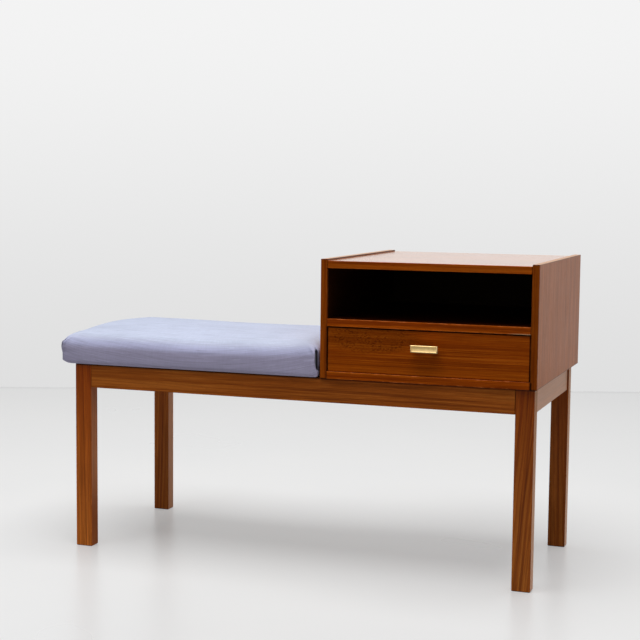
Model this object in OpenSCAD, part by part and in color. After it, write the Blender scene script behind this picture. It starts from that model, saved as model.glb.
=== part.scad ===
// Telephone bench: a teak leg frame, an upholstered seat on the left and a
// small cabinet with an open shelf and one drawer on the right.
// Millimetres, +Z up. The origin lies on the floor at the middle of the whole
// bench, +X runs along the bench to the cabinet and the front faces -Y.

/* [Leg frame] */
// Length of the leg frame
frame_len = 882; // [780:1:1000]
// Depth of the leg frame
frame_depth = 360; // [310:1:372]
// Height of the leg frame, floor to the top of the aprons
frame_h = 352; // [280:1:420]
// Width of a leg along the bench
leg_w = 33; // [28:1:45]
// Depth of a leg, front to back
leg_d = 25; // [22:1:40]
// Height of the aprons
apron_h = 44; // [38:1:70]
// Thickness of the aprons
apron_t = 20; // [16:1:22]
// Setback of the end aprons from the outer faces of the legs
end_apron_setback = 3; // [1:0.5:6]
// Width of the rail that crosses the frame under the seat's end and the cabinet
cross_rail_w = 80; // [70:1:100]
// Height of the cross rail and of the corner blocks
bearer_h = 28; // [24:1:30]
// Leg of a corner block along the front and rear aprons
block_len_x = 60; // [50:1:80]
// Leg of a corner block along the end aprons
block_len_y = 60; // [50:1:80]
// Bevel on the edges of the legs and the aprons
frame_ease = 0.8; // [0.3:0.1:2]
// Bevel round the foot of each leg
foot_ease = 1.5; // [0.5:0.1:3]

/* [Seat] */
// How far the pad stands out past the left end of the frame
seat_overhang = 30; // [15:1:50]
// How far the pad and the cabinet stand out past the front of the frame
front_overhang = 5; // [1:0.5:8]
// Gap between the pad and the cabinet
pad_gap = 1.5; // [0.5:0.1:4]
// Height of the pad at its left edge
pad_edge_h = 61; // [45:1:80]
// How much lower the pad is at the cabinet than at its left end
pad_fall = 9; // [0:0.5:15]
// Rise of the pad's crown over its edges
pad_crown = 7; // [2:0.5:20]
// Radius of the pad's rolled upper edge
pad_roll = 17; // [8:0.5:24]
// Radius of the pad's corners seen from above
pad_corner_r = 14; // [10:0.5:30]
// How far the pad's sides draw in halfway between its corners
pad_draw_in = 2; // [0:0.5:6]
// How far the pad's foot lies inside its widest line
pad_foot_in = 4; // [1:0.5:8]
// Thickness of the plywood board in the pad
seat_board_t = 12; // [9:1:15]
// Foam and cloth round the board's edges
seat_wrap = 10; // [8:0.5:16]
// Thickness of the cloth turned under the board
hem_t = 1.2; // [0.8:0.1:2]
// Width of the cloth turned under the board
hem_w = 30; // [20:1:45]

/* [Cabinet] */
// Width of the cabinet
cabinet_w = 390; // [340:1:440]
// Depth of the cabinet
cabinet_d = 415; // [385:1:450]
// Height of the cabinet over the frame
cabinet_h = 213; // [190:1:260]
// How far the cabinet stands out past the right end of the frame
cabinet_overhang = 4; // [0:0.5:10]
// Thickness of the side panels
side_t = 12; // [11:0.5:18]
// Thickness of the top, shelf and bottom panels
panel_t = 13; // [12:0.5:18]
// How far the top panel lies below the upper edges of the sides
top_drop = 3; // [1:0.5:8]
// Height of the opening that the drawer fills
drawer_opening_h = 81; // [74:1:100]
// Depth of the solid lipping on the panels' front edges
lipping_d = 5; // [3:0.5:8]
// Bevel on the lippings' edges
lipping_ease = 0.5; // [0.2:0.1:1]
// Thickness of the back panel
back_t = 5; // [4:0.5:6]
// Width of the rebates in the sides that take the back panel
back_rebate_w = 6; // [4:0.5:7]

/* [Drawer] */
// Depth of the drawer from its front face to its rear end
drawer_depth = 385; // [330:1:390]
// Thickness of the drawer front
drawer_front_t = 15; // [14:0.5:20]
// How far the drawer front lies behind the cabinet's front edges
drawer_recess = 2; // [0:0.5:4]
// Gap between the drawer and each cabinet side
drawer_side_gap = 1.5; // [1:0.1:2.5]
// Gap over the drawer front
drawer_top_gap = 1.5; // [1:0.1:3]
// Gap under the drawer front
drawer_low_gap = 0.8; // [0.4:0.1:2]
// Thickness of the drawer's sides and back
drawer_wood_t = 10; // [9:0.5:13]
// Height of the drawer's sides
drawer_side_h = 64; // [54:1:66]
// Height of the drawer sides' lower edges over the drawer front's
drawer_side_rise = 2; // [0.5:0.5:5]
// Thickness of the drawer's bottom panel
drawer_bottom_t = 4; // [3:0.5:5]
// Height of the bottom panel over the drawer sides' lower edges
drawer_bottom_rise = 6; // [4:0.5:8]
// Depth of the grooves that hold the bottom panel
bottom_groove_d = 4; // [3:0.5:4.5]
// Height of the runner strips
runner_h = 10; // [8:0.5:13]
// Depth of the grooves that run on the runner strips
runner_groove_d = 5; // [3.5:0.5:5.5]
// Gap over and under a runner strip in its groove
runner_gap = 0.3; // [0.2:0.1:0.6]
// Length of the runner strips
runner_len = 330; // [290:1:340]

/* [Pull] */
// Length of the brass bar
pull_len = 48; // [40:0.5:90]
// Height of the bar
pull_h = 12.5; // [10:0.5:20]
// Thickness of the bar
pull_t = 6; // [5:0.5:9]
// Width of the rim round the hollowed face
pull_rim = 1.5; // [1:0.1:2.5]
// Depth of the hollow in the bar's face
pull_hollow = 2; // [1:0.1:2.5]
// Clear space behind the bar
pull_standoff = 11; // [8:0.5:20]
// Distance between the two posts
pull_spacing = 32; // [26:0.5:38]
// Diameter of the posts
pull_post_d = 7; // [6:0.5:9]
// How far the bar's middle lies above the middle of the drawer front
pull_rise = 9; // [0:0.5:18]

/* [Joinery] */
// Diameter of the dowels
dowel_d = 6; // [5:0.5:7]
// Length of a dowel in a leg
dowel_in_leg = 14; // [10:1:18]
// Length of a dowel in an apron, the cross rail or a panel's end
dowel_in_end = 20; // [14:1:25]
// Length of a dowel in an apron's inner face
dowel_in_apron = 12; // [9:1:13]
// Length of a dowel in a cabinet side or a drawer front
dowel_in_face = 8; // [6:0.5:9]
// Shank diameter of the large screws
screw_d = 4; // [3.5:0.5:5]
// Length of the screws that hold the seat and the cabinet down
fixing_screw_len = 36; // [34:0.5:38]
// Length of the screws that hold the corner blocks
block_screw_len = 35; // [32:1:38]
// Wood left under a corner block's screw heads
block_grip = 22; // [20:1:25]
// Shank diameter of the small screws
small_screw_d = 2.5; // [2:0.5:3]
// Length of the small screws in the back, the runners and the drawer
small_screw_len = 14; // [12:0.5:15]
// Length of the screws through the drawer's sides into its back
corner_screw_len = 28; // [24:1:32]
// Diameter of the screws in the pull
pull_screw_d = 3.5; // [3:0.5:4]
// Length of a pull screw inside its post
pull_screw_in_post = 8; // [6:0.5:10]

/* [Hidden] */

// Overrun of a cut past the face that it opens
cut_over = 1;
// Clearance round a dowel and round a screw
dowel_gap = 0.05;
screw_gap = 0.1;
// Space left at the blind ends of a dowel's holes
dowel_end_gap = 1;
// Clearance between the back panel and its rebates
back_gap = 0.3;
// Clearance between a runner's face and the bottom of its groove
runner_face_gap = 0.5;
// Solid wood between the drawer front and the blind end of a runner groove
groove_stop = 12;
// Space between a runner's front end and the blind end of its groove
runner_end_gap = 0.5;
// Clearance of the drawer's bottom panel in its grooves
bottom_gap = 0.15;
// Bevels on the drawer front, on small hidden pieces and on the brass bar
drawer_ease = 0.6;
inner_ease = 0.4;
pull_ease = 0.4;
// Heads of the screws, as shares of the shank diameter
head_d_share = 2;
head_h_share = 0.6;
pan_h_share = 0.7;
slot_w_share = 0.22;
slot_d_share = 0.28;
round_fn = 48;

// Places of the dowels, as shares of the height or the depth of what they join
apron_dowel_shares = [0.2, 0.6];
end_apron_dowel_shares = [0.4, 0.8];
cross_rail_dowel_shares = [0.2, 0.8];
panel_dowel_shares = [0.12, 0.5, 0.88];
drawer_dowel_shares = [0.3, 0.82];
// Places of the screws, as shares of what they pass through
seat_rail_screw_shares = [0.14, 0.86];
cabinet_rail_screw_shares = [0.31, 0.69];
rail_screw_offset_share = 0.35;
block_screw_shares = [0.3, 0.7];
block_screw_reach_share = 0.5;
block_fixing_share = 0.3;
back_screw_shares = [0.15, 0.5, 0.85];
runner_screw_shares = [0.08, 0.5, 0.92];
drawer_bottom_screw_shares = [0.25, 0.75];
// Shape of the pad: rings of its side, its rolled edge and its crown
pad_wall_shares = [0, 0.35, 0.75];
pad_roll_angles = [0, 30, 60, 90];
pad_crown_shares = [0.86, 0.68, 0.48, 0.26];
pad_crown_power = 2.5;
pad_corner_steps = 5;
pad_long_steps = 8;
pad_short_steps = 6;

// Places along the bench
bench_len = seat_overhang + frame_len + cabinet_overhang;
x_left = -bench_len / 2;
frame_x0 = x_left + seat_overhang;
frame_x1 = frame_x0 + frame_len;
cab_x1 = frame_x1 + cabinet_overhang;
cab_x0 = cab_x1 - cabinet_w;
in_x0 = cab_x0 + side_t;
in_x1 = cab_x1 - side_t;
pad_x0 = x_left;
pad_x1 = cab_x0 - pad_gap;

// Places from front to back: the pull stands out in front of the cabinet
pull_reach = pull_standoff + pull_t - drawer_recess;
y_front = (pull_reach - cabinet_d) / 2;
y_back = y_front + cabinet_d;
frame_y0 = y_front + front_overhang;
frame_y1 = frame_y0 + frame_depth;
core_y0 = y_front + lipping_d;
core_y1 = y_back - back_t;
pad_y0 = y_front;
pad_y1 = frame_y1;

// Heights
floor_z = frame_h + panel_t;
shelf_z0 = floor_z + drawer_opening_h;
shelf_z1 = shelf_z0 + panel_t;
cab_z1 = frame_h + cabinet_h;
top_z1 = cab_z1 - top_drop;
top_z0 = top_z1 - panel_t;
apron_z0 = frame_h - apron_h;
bearer_z0 = frame_h - bearer_h;

// Inner faces of the aprons and of the legs, seen from the frame's corners
end_in = end_apron_setback + apron_t;

// Board in the pad
board_x0 = pad_x0 + seat_wrap;
board_x1 = pad_x1 - seat_wrap;
board_y0 = pad_y0 + seat_wrap;
board_y1 = pad_y1 - seat_wrap;
board_z0 = frame_h + hem_t;

// Drawer
dr_x0 = in_x0 + drawer_side_gap;
dr_x1 = in_x1 - drawer_side_gap;
dr_y0 = y_front + drawer_recess;
dr_wood_y0 = dr_y0 + drawer_front_t;
dr_y1 = dr_y0 + drawer_depth;
dr_z0 = floor_z + drawer_low_gap;
dr_z1 = shelf_z0 - drawer_top_gap;
dr_side_z0 = dr_z0 + drawer_side_rise;
dr_side_z1 = dr_side_z0 + drawer_side_h;
dr_floor_z0 = dr_side_z0 + drawer_bottom_rise;
dr_floor_z1 = dr_floor_z0 + drawer_bottom_t;
runner_z = dr_side_z0 + drawer_side_h / 2;
groove_z0 = runner_z - runner_h / 2 - runner_gap;
groove_z1 = runner_z + runner_h / 2 + runner_gap;
runner_y0 = dr_wood_y0 + groove_stop + runner_end_gap;
runner_t = drawer_side_gap + runner_groove_d - runner_face_gap;
pull_x = (dr_x0 + dr_x1) / 2;
pull_z = (dr_z0 + dr_z1) / 2 + pull_rise;
pull_y1 = dr_y0 - pull_standoff;

// Screws and dowels that stand upright or lie along an axis
rail_x = cab_x0;
rail_x0 = rail_x - cross_rail_w / 2;
rail_y0 = frame_y0 + apron_t;
rail_y1 = frame_y1 - apron_t;
block_fix_x = leg_w + block_len_x * block_fixing_share;
block_fix_y = apron_t + block_len_y * block_fixing_share;

teak = "#8a4416";
teak_dark = "#6e3411";
veneer = "#96602f";
ply = "#c9a06b";
beech = "#c89a68";
steel = "#8d8d8d";
brass = "#c8aa62";
lilac = "#b9bbdd";

// General shapes

// Octagon: a rectangle with its four corners cut off by the ease
module eased_square(w, h, ease) {
    polygon([[ease, 0], [w - ease, 0], [w, ease], [w, h - ease],
             [w - ease, h], [ease, h], [0, h - ease], [0, ease]]);
}

// Box with all twelve edges bevelled, its low corner at the origin
module eased_box(size, ease) {
    intersection() {
        linear_extrude(size.z) eased_square(size.x, size.y, ease);
        translate([0, size.y, 0]) rotate([90, 0, 0])
            linear_extrude(size.y) eased_square(size.x, size.z, ease);
        rotate([90, 0, 90])
            linear_extrude(size.x) eased_square(size.y, size.z, ease);
    }
}

// Box between two corners
module span_box(low, high) {
    translate(low) cube(high - low);
}

module eased_span(low, high, ease) {
    translate(low) eased_box(high - low, ease);
}

// Cylinder from a point along X or Y: d is its diameter, and len may be negative
module bar_x(at, len, d) {
    translate(at) rotate([0, len > 0 ? 90 : -90, 0]) cylinder(h = abs(len), d = d, $fn = round_fn);
}

module bar_y(at, len, d) {
    translate(at) rotate([len > 0 ? -90 : 90, 0, 0]) cylinder(h = abs(len), d = d, $fn = round_fn);
}

// Dowel along X or Y: it lies in one piece for len_a before the joint, and in the other for len_b
module dowel_x(at, len_a, len_b, gap = 0) {
    short = gap > 0 ? 0 : dowel_end_gap;
    bar_x(at - [len_a - short, 0, 0], len_a + len_b - 2 * short, dowel_d + 2 * gap);
}

module dowel_y(at, len_a, len_b, gap = 0) {
    short = gap > 0 ? 0 : dowel_end_gap;
    bar_y(at - [0, len_a - short, 0], len_a + len_b - 2 * short, dowel_d + 2 * gap);
}

// Countersunk screw: the head's face is at the origin and the point lies at -Z
module screw(len, d) {
    head_d = d * head_d_share;
    head_h = d * head_h_share;
    difference() {
        union() {
            translate([0, 0, -len]) cylinder(h = len, d = d, $fn = round_fn);
            translate([0, 0, -head_h]) cylinder(h = head_h, d1 = d, d2 = head_d, $fn = round_fn);
        }
        translate([-head_d, -d * slot_w_share / 2, -d * slot_d_share])
            cube([2 * head_d, d * slot_w_share, d * slot_d_share + cut_over]);
    }
}

// Hole for such a screw, open over its head
module screw_hole(len, d) {
    head_d = d * head_d_share + 2 * screw_gap;
    head_h = d * head_h_share;
    hole_d = d + 2 * screw_gap;
    translate([0, 0, -len - screw_gap]) cylinder(h = len + screw_gap, d = hole_d, $fn = round_fn);
    translate([0, 0, -head_h]) cylinder(h = head_h, d1 = hole_d, d2 = head_d, $fn = round_fn);
    cylinder(h = cut_over, d = head_d, $fn = round_fn);
}

// Turns that point a screw from its head into the wood
module into_up() rotate([180, 0, 0]) children();
module into_plus_x() rotate([0, -90, 0]) children();
module into_minus_x() rotate([0, 90, 0]) children();
module into_minus_y() rotate([-90, 0, 0]) children();

// Leg frame

// Places of the legs: the low corner of each
function leg_x(right) = right ? frame_x1 - leg_w : frame_x0;
function leg_y(rear) = rear ? frame_y1 - leg_d : frame_y0;

// Centre lines of the aprons
apron_mid_front = frame_y0 + apron_t / 2;
apron_mid_rear = frame_y1 - apron_t / 2;
end_mid_left = frame_x0 + end_apron_setback + apron_t / 2;
end_mid_right = frame_x1 - end_apron_setback - apron_t / 2;

// Dowels from the long aprons into the legs
module long_apron_dowels(gap = 0) {
    for (y = [apron_mid_front, apron_mid_rear], share = apron_dowel_shares) {
        z = apron_z0 + apron_h * share;
        dowel_x([frame_x0 + leg_w, y, z], dowel_in_leg, dowel_in_end, gap);
        dowel_x([frame_x1 - leg_w, y, z], dowel_in_end, dowel_in_leg, gap);
    }
}

// Dowels from the end aprons into the legs
module end_apron_dowels(gap = 0) {
    for (x = [end_mid_left, end_mid_right], share = end_apron_dowel_shares) {
        z = apron_z0 + apron_h * share;
        dowel_y([x, frame_y0 + leg_d, z], dowel_in_leg, dowel_in_end, gap);
        dowel_y([x, frame_y1 - leg_d, z], dowel_in_end, dowel_in_leg, gap);
    }
}

// Dowels from the cross rail into the inner faces of the long aprons
module cross_rail_dowels(gap = 0) {
    for (share = cross_rail_dowel_shares) {
        x = rail_x0 + cross_rail_w * share;
        z = bearer_z0 + bearer_h / 2;
        dowel_y([x, rail_y0, z], dowel_in_apron, dowel_in_end, gap);
        dowel_y([x, rail_y1, z], dowel_in_end, dowel_in_apron, gap);
    }
}

module frame_dowel_holes() {
    long_apron_dowels(dowel_gap);
    end_apron_dowels(dowel_gap);
    cross_rail_dowels(dowel_gap);
}

// One leg, bevelled more strongly round its foot
module leg(right, rear) {
    color(teak) difference() {
        translate([leg_x(right), leg_y(rear), 0]) intersection() {
            eased_box([leg_w, leg_d, frame_h], frame_ease);
            translate([0, leg_d, 0]) rotate([90, 0, 0]) linear_extrude(leg_d)
                polygon([[foot_ease, 0], [leg_w - foot_ease, 0], [leg_w, foot_ease],
                         [leg_w, frame_h], [0, frame_h], [0, foot_ease]]);
            rotate([90, 0, 90]) linear_extrude(leg_w)
                polygon([[foot_ease, 0], [leg_d - foot_ease, 0], [leg_d, foot_ease],
                         [leg_d, frame_h], [0, frame_h], [0, foot_ease]]);
        }
        frame_dowel_holes();
    }
}

module leg_front_left() leg(false, false);
module leg_front_right() leg(true, false);
module leg_rear_left() leg(false, true);
module leg_rear_right() leg(true, true);

// An apron along the bench
module long_apron(y0) {
    color(teak) difference() {
        eased_span([frame_x0 + leg_w, y0, apron_z0],
                   [frame_x1 - leg_w, y0 + apron_t, frame_h], frame_ease);
        frame_dowel_holes();
        block_screws(screw_gap);
    }
}

module apron_front() long_apron(frame_y0);
module apron_rear() long_apron(frame_y1 - apron_t);

// An apron at an end of the frame
module end_apron(x0) {
    color(teak) difference() {
        eased_span([x0, frame_y0 + leg_d, apron_z0],
                   [x0 + apron_t, frame_y1 - leg_d, frame_h], frame_ease);
        frame_dowel_holes();
        block_screws(screw_gap);
    }
}

module apron_left() end_apron(frame_x0 + end_apron_setback);
module apron_right() end_apron(frame_x1 - end_in);

// Rail across the frame: the seat's right end and the cabinet's left end lie on it
module cross_rail() {
    color(beech) difference() {
        eased_span([rail_x0, rail_y0, bearer_z0],
                   [rail_x0 + cross_rail_w, rail_y1, frame_h], inner_ease);
        frame_dowel_holes();
        fixing_screws(-1, screw_gap);
        fixing_screws(1, screw_gap);
    }
}

// Places a shape drawn for the front left corner at any corner of the frame
module at_corner(right, rear) {
    translate([right ? frame_x1 : frame_x0, rear ? frame_y1 : frame_y0, 0])
        mirror([right ? 1 : 0, 0, 0]) mirror([0, rear ? 1 : 0, 0]) children();
}

// Screws of one corner block, drawn for the front left corner
module corner_screws(gap) {
    x_y_screw = leg_w + block_len_x * block_screw_reach_share;
    y_x_screw = leg_d + block_len_y * block_screw_reach_share;
    z_y_screw = bearer_z0 + bearer_h * block_screw_shares[1];
    z_x_screw = bearer_z0 + bearer_h * block_screw_shares[0];
    translate([x_y_screw, apron_t + block_grip, z_y_screw]) into_minus_y()
        if (gap > 0) screw_hole(block_screw_len, screw_d);
        else screw(block_screw_len, screw_d);
    translate([end_in + block_grip, y_x_screw, z_x_screw]) into_minus_x()
        if (gap > 0) screw_hole(block_screw_len, screw_d);
        else screw(block_screw_len, screw_d);
}

module block_screws(gap) {
    for (right = [false, true], rear = [false, true])
        at_corner(right, rear) corner_screws(gap);
}

// Counterbores over the heads of one block's screws
module corner_counterbores() {
    head_d = screw_d * head_d_share + 2 * screw_gap;
    translate([leg_w + block_len_x * block_screw_reach_share, apron_t + block_grip,
               bearer_z0 + bearer_h * block_screw_shares[1]])
        bar_y([0, 0, 0], block_len_y, head_d);
    translate([end_in + block_grip, leg_d + block_len_y * block_screw_reach_share,
               bearer_z0 + bearer_h * block_screw_shares[0]])
        bar_x([0, 0, 0], block_len_x, head_d);
}

// Block glued and screwed into a corner, notched round the leg
module corner_block(right, rear) {
    color(beech) difference() {
        at_corner(right, rear) difference() {
            translate([0, 0, bearer_z0]) linear_extrude(bearer_h)
                polygon([[leg_w, apron_t], [leg_w + block_len_x, apron_t],
                         [end_in, leg_d + block_len_y], [end_in, leg_d], [leg_w, leg_d]]);
            corner_screws(screw_gap);
            corner_counterbores();
        }
        fixing_screws(right ? 1 : -1, screw_gap);
    }
}

module corner_block_front_left() corner_block(false, false);
module corner_block_front_right() corner_block(true, false);
module corner_block_rear_left() corner_block(false, true);
module corner_block_rear_right() corner_block(true, true);

module frame_dowels() {
    color(beech) {
        long_apron_dowels();
        end_apron_dowels();
        cross_rail_dowels();
    }
}

module corner_block_screws() color(steel) block_screws(0);

// Screws up into the seat, side -1, or into the cabinet, side 1. On the rail the
// cabinet's lie between the dowels of its bottom panel.
module fixing_screws(side, gap) {
    block_x = side < 0 ? frame_x0 + block_fix_x : frame_x1 - block_fix_x;
    on_rail_x = rail_x + side * cross_rail_w * rail_screw_offset_share;
    rail_ys = side < 0
        ? [for (share = seat_rail_screw_shares) rail_y0 + (rail_y1 - rail_y0) * share]
        : [for (share = cabinet_rail_screw_shares) core_y0 + (core_y1 - core_y0) * share];
    places = [for (y = [frame_y0 + block_fix_y, frame_y1 - block_fix_y]) [block_x, y],
              for (y = rail_ys) [on_rail_x, y]];
    for (p = places) translate([p.x, p.y, bearer_z0]) into_up()
        if (gap > 0) screw_hole(fixing_screw_len, screw_d);
        else screw(fixing_screw_len, screw_d);
}

module seat_screws() color(steel) fixing_screws(-1, 0);
module cabinet_screws() color(steel) fixing_screws(1, 0);

// Seat

module seat_board() {
    color(ply) difference() {
        span_box([board_x0, board_y0, board_z0],
                 [board_x1, board_y1, board_z0 + seat_board_t]);
        fixing_screws(-1, screw_gap);
    }
}

pad_mid = [(pad_x0 + pad_x1) / 2, (pad_y0 + pad_y1) / 2];
pad_half = [(pad_x1 - pad_x0) / 2, (pad_y1 - pad_y0) / 2];

// Height of the pad's upper edge at a place along the bench
function pad_edge_z(u) = frame_h + pad_edge_h - pad_fall * (u + 1) / 2;

// Share of the crown at a place given as shares of the half length and half depth
function crown_share(u, v) = (1 - pow(abs(u), pad_crown_power)) * (1 - pow(abs(v), pad_crown_power));

// Points along one side and round the corner after it, for a quarter turn of the outline.
// A point is [x, y, nx, ny]: its place from the pad's middle and its outward direction.
function quarter(turn, half_a, half_b, steps) =
    let (c = cos(turn), s = sin(turn),
         side = [for (i = [0 : steps - 1])
                 [half_a, -(half_b - pad_corner_r) + 2 * (half_b - pad_corner_r) * i / steps, 1, 0]],
         arc = [for (i = [0 : pad_corner_steps - 1])
                let (a = 90 * i / pad_corner_steps)
                [half_a - pad_corner_r + pad_corner_r * cos(a),
                 half_b - pad_corner_r + pad_corner_r * sin(a), cos(a), sin(a)]])
    [for (p = concat(side, arc))
     [p[0] * c - p[1] * s, p[0] * s + p[1] * c, p[2] * c - p[3] * s, p[2] * s + p[3] * c]];

pad_outline = concat(quarter(0, pad_half.x, pad_half.y, pad_short_steps),
                     quarter(90, pad_half.y, pad_half.x, pad_long_steps),
                     quarter(180, pad_half.x, pad_half.y, pad_short_steps),
                     quarter(270, pad_half.y, pad_half.x, pad_long_steps));

// How far a side has drawn in at an outline point: most in its middle, nothing at a corner
function drawn_in(p) =
    let (u = min(1, abs(p[0]) / (pad_half.x - pad_corner_r)),
         v = min(1, abs(p[1]) / (pad_half.y - pad_corner_r)))
    pad_draw_in * (abs(p[2]) * (1 - v * v) + abs(p[3]) * (1 - u * u));

// A ring round the pad at an inset from its widest line and a drop under its upper edge
function wall_ring(inset, drop_of) =
    [for (p = pad_outline)
     let (d = inset + drawn_in(p), x = p[0] - p[2] * d, y = p[1] - p[3] * d,
          edge = pad_edge_z(x / pad_half.x))
     [pad_mid.x + x, pad_mid.y + y,
      drop_of[0] < 0 ? edge - drop_of[1] : frame_h + drop_of[0] * (edge - pad_roll - frame_h)]];

function crown_z(x, y) =
    pad_edge_z(x / pad_half.x) + pad_crown * crown_share(x / pad_half.x, y / pad_half.y);

function crown_ring(share) =
    [for (p = pad_outline)
     let (d = pad_roll + drawn_in(p), x = (p[0] - p[2] * d) * share, y = (p[1] - p[3] * d) * share)
     [pad_mid.x + x, pad_mid.y + y, crown_z(x, y)]];

pad_rings = concat(
    [for (share = pad_wall_shares) wall_ring(pad_foot_in * pow(1 - share, 2), [share, 0])],
    [for (a = pad_roll_angles)
     wall_ring(pad_roll * (1 - cos(a)), [-1, pad_roll * (1 - sin(a))])],
    [for (share = pad_crown_shares) crown_ring(share)]);

// Crowned pad over its board: foam and cover together
module pad_body() {
    n = len(pad_outline);
    rings = len(pad_rings);
    points = concat([for (ring = pad_rings) each ring],
                    [[pad_mid.x, pad_mid.y, frame_h], [pad_mid.x, pad_mid.y, crown_z(0, 0)]]);
    low = n * rings;
    high = low + 1;
    walls = [for (r = [0 : rings - 2], i = [0 : n - 1])
             let (j = (i + 1) % n, a = r * n + i, b = r * n + j, c = a + n, d = b + n)
             each [[a, c, b], [b, c, d]]];
    under = [for (i = [0 : n - 1]) [low, i, (i + 1) % n]];
    over = [for (i = [0 : n - 1]) [high, (rings - 1) * n + (i + 1) % n, (rings - 1) * n + i]];
    polyhedron(points, concat(walls, under, over), convexity = 4);
}

// The pad closes round the board and turns under it by the width of the hem
module seat_cushion() {
    color(lilac) difference() {
        pad_body();
        span_box([board_x0, board_y0, board_z0], [board_x1, board_y1, board_z0 + seat_board_t]);
        span_box([board_x0 + hem_w, board_y0 + hem_w, frame_h - cut_over],
                 [board_x1 - hem_w, board_y1 - hem_w, board_z0 + seat_board_t / 2]);
        fixing_screws(-1, screw_gap);
    }
}

// Cabinet

// Dowels between a panel at a middle height and both sides
module panel_dowels(mid_z, gap = 0) {
    for (share = panel_dowel_shares) {
        y = core_y0 + (core_y1 - core_y0) * share;
        dowel_x([in_x0, y, mid_z], dowel_in_face, dowel_in_end, gap);
        dowel_x([in_x1, y, mid_z], dowel_in_end, dowel_in_face, gap);
    }
}

panel_mids = [frame_h + panel_t / 2, shelf_z0 + panel_t / 2, top_z0 + panel_t / 2];

module all_panel_dowels(gap = 0) {
    for (z = panel_mids) panel_dowels(z, gap);
}

// Screws through the back panel into the panels' rear edges
module back_fixings(gap) {
    for (z = panel_mids, share = back_screw_shares)
        translate([in_x0 + (in_x1 - in_x0) * share, y_back, z]) into_minus_y()
            if (gap > 0) screw_hole(small_screw_len, small_screw_d);
            else screw(small_screw_len, small_screw_d);
}

// Screws through the runner strips into the sides
module runner_fixings(gap) {
    for (share = runner_screw_shares) {
        y = runner_y0 + runner_len * share;
        translate([in_x0 + runner_t, y, runner_z]) into_minus_x()
            if (gap > 0) screw_hole(small_screw_len, small_screw_d);
            else screw(small_screw_len, small_screw_d);
        translate([in_x1 - runner_t, y, runner_z]) into_plus_x()
            if (gap > 0) screw_hole(small_screw_len, small_screw_d);
            else screw(small_screw_len, small_screw_d);
    }
}

// A side panel behind its lipping, rebated for the back
module cabinet_side(x0, inner_x) {
    color(veneer) difference() {
        eased_span([x0, core_y0, frame_h], [x0 + side_t, y_back, cab_z1], lipping_ease / 2);
        translate([inner_x - back_rebate_w, core_y1, frame_h - cut_over])
            cube([2 * back_rebate_w, back_t + cut_over, top_z1 - frame_h + back_gap + cut_over]);
        all_panel_dowels(dowel_gap);
        runner_fixings(screw_gap);
    }
}

module cabinet_side_left() cabinet_side(cab_x0, in_x0);
module cabinet_side_right() cabinet_side(in_x1, in_x1);

// A panel between the sides, behind its lipping
module cross_panel(z0) {
    color(veneer) difference() {
        span_box([in_x0, core_y0, z0], [in_x1, core_y1, z0 + panel_t]);
        all_panel_dowels(dowel_gap);
        back_fixings(screw_gap);
        fixing_screws(1, screw_gap);
    }
}

module cabinet_top() cross_panel(top_z0);
module cabinet_shelf() cross_panel(shelf_z0);
module cabinet_bottom() cross_panel(frame_h);

// Plywood back let into the rebates
module cabinet_back() {
    color(ply) difference() {
        span_box([in_x0 - back_rebate_w + back_gap, core_y1, frame_h],
                 [in_x1 + back_rebate_w - back_gap, y_back, top_z1]);
        back_fixings(screw_gap);
    }
}

// Solid strip on a front edge
module lipping(low, high) {
    color(teak_dark) eased_span(low, high, lipping_ease);
}

module lipping_side_left() lipping([cab_x0, y_front, frame_h], [in_x0, core_y0, cab_z1]);
module lipping_side_right() lipping([in_x1, y_front, frame_h], [cab_x1, core_y0, cab_z1]);
module lipping_top() lipping([in_x0, y_front, top_z0], [in_x1, core_y0, top_z1]);
module lipping_shelf() lipping([in_x0, y_front, shelf_z0], [in_x1, core_y0, shelf_z1]);
module lipping_bottom() lipping([in_x0, y_front, frame_h], [in_x1, core_y0, floor_z]);

module cabinet_dowels() color(beech) all_panel_dowels();
module back_screws() color(steel) back_fixings(0);

// Strip that a drawer side's groove runs on
module drawer_runner(x0) {
    color(beech) difference() {
        eased_span([x0, runner_y0, runner_z - runner_h / 2],
                   [x0 + runner_t, runner_y0 + runner_len, runner_z + runner_h / 2], inner_ease);
        runner_fixings(screw_gap);
    }
}

module drawer_runner_left() drawer_runner(in_x0);
module drawer_runner_right() drawer_runner(in_x1 - runner_t);
module runner_screws() color(steel) runner_fixings(0);

// Drawer

module drawer_dowel_set(gap = 0) {
    for (x = [dr_x0 + drawer_wood_t / 2, dr_x1 - drawer_wood_t / 2], share = drawer_dowel_shares)
        dowel_y([x, dr_wood_y0, dr_side_z0 + drawer_side_h * share], dowel_in_face, dowel_in_end, gap);
}

// Screws through the drawer's sides into the ends of its back, one under and one
// over the runner's groove
module back_corner_fixings(gap) {
    y = dr_y1 - drawer_wood_t / 2;
    for (z = [(dr_floor_z1 + groove_z0) / 2, (groove_z1 + dr_side_z1) / 2]) {
        translate([dr_x0, y, z]) into_plus_x()
            if (gap > 0) screw_hole(corner_screw_len, small_screw_d);
            else screw(corner_screw_len, small_screw_d);
        translate([dr_x1, y, z]) into_minus_x()
            if (gap > 0) screw_hole(corner_screw_len, small_screw_d);
            else screw(corner_screw_len, small_screw_d);
    }
}

// Screws up through the drawer's bottom panel into its back
module bottom_fixings(gap) {
    for (share = drawer_bottom_screw_shares)
        translate([dr_x0 + (dr_x1 - dr_x0) * share, dr_y1 - drawer_wood_t / 2, dr_floor_z0]) into_up()
            if (gap > 0) screw_hole(small_screw_len, small_screw_d);
            else screw(small_screw_len, small_screw_d);
}

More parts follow.
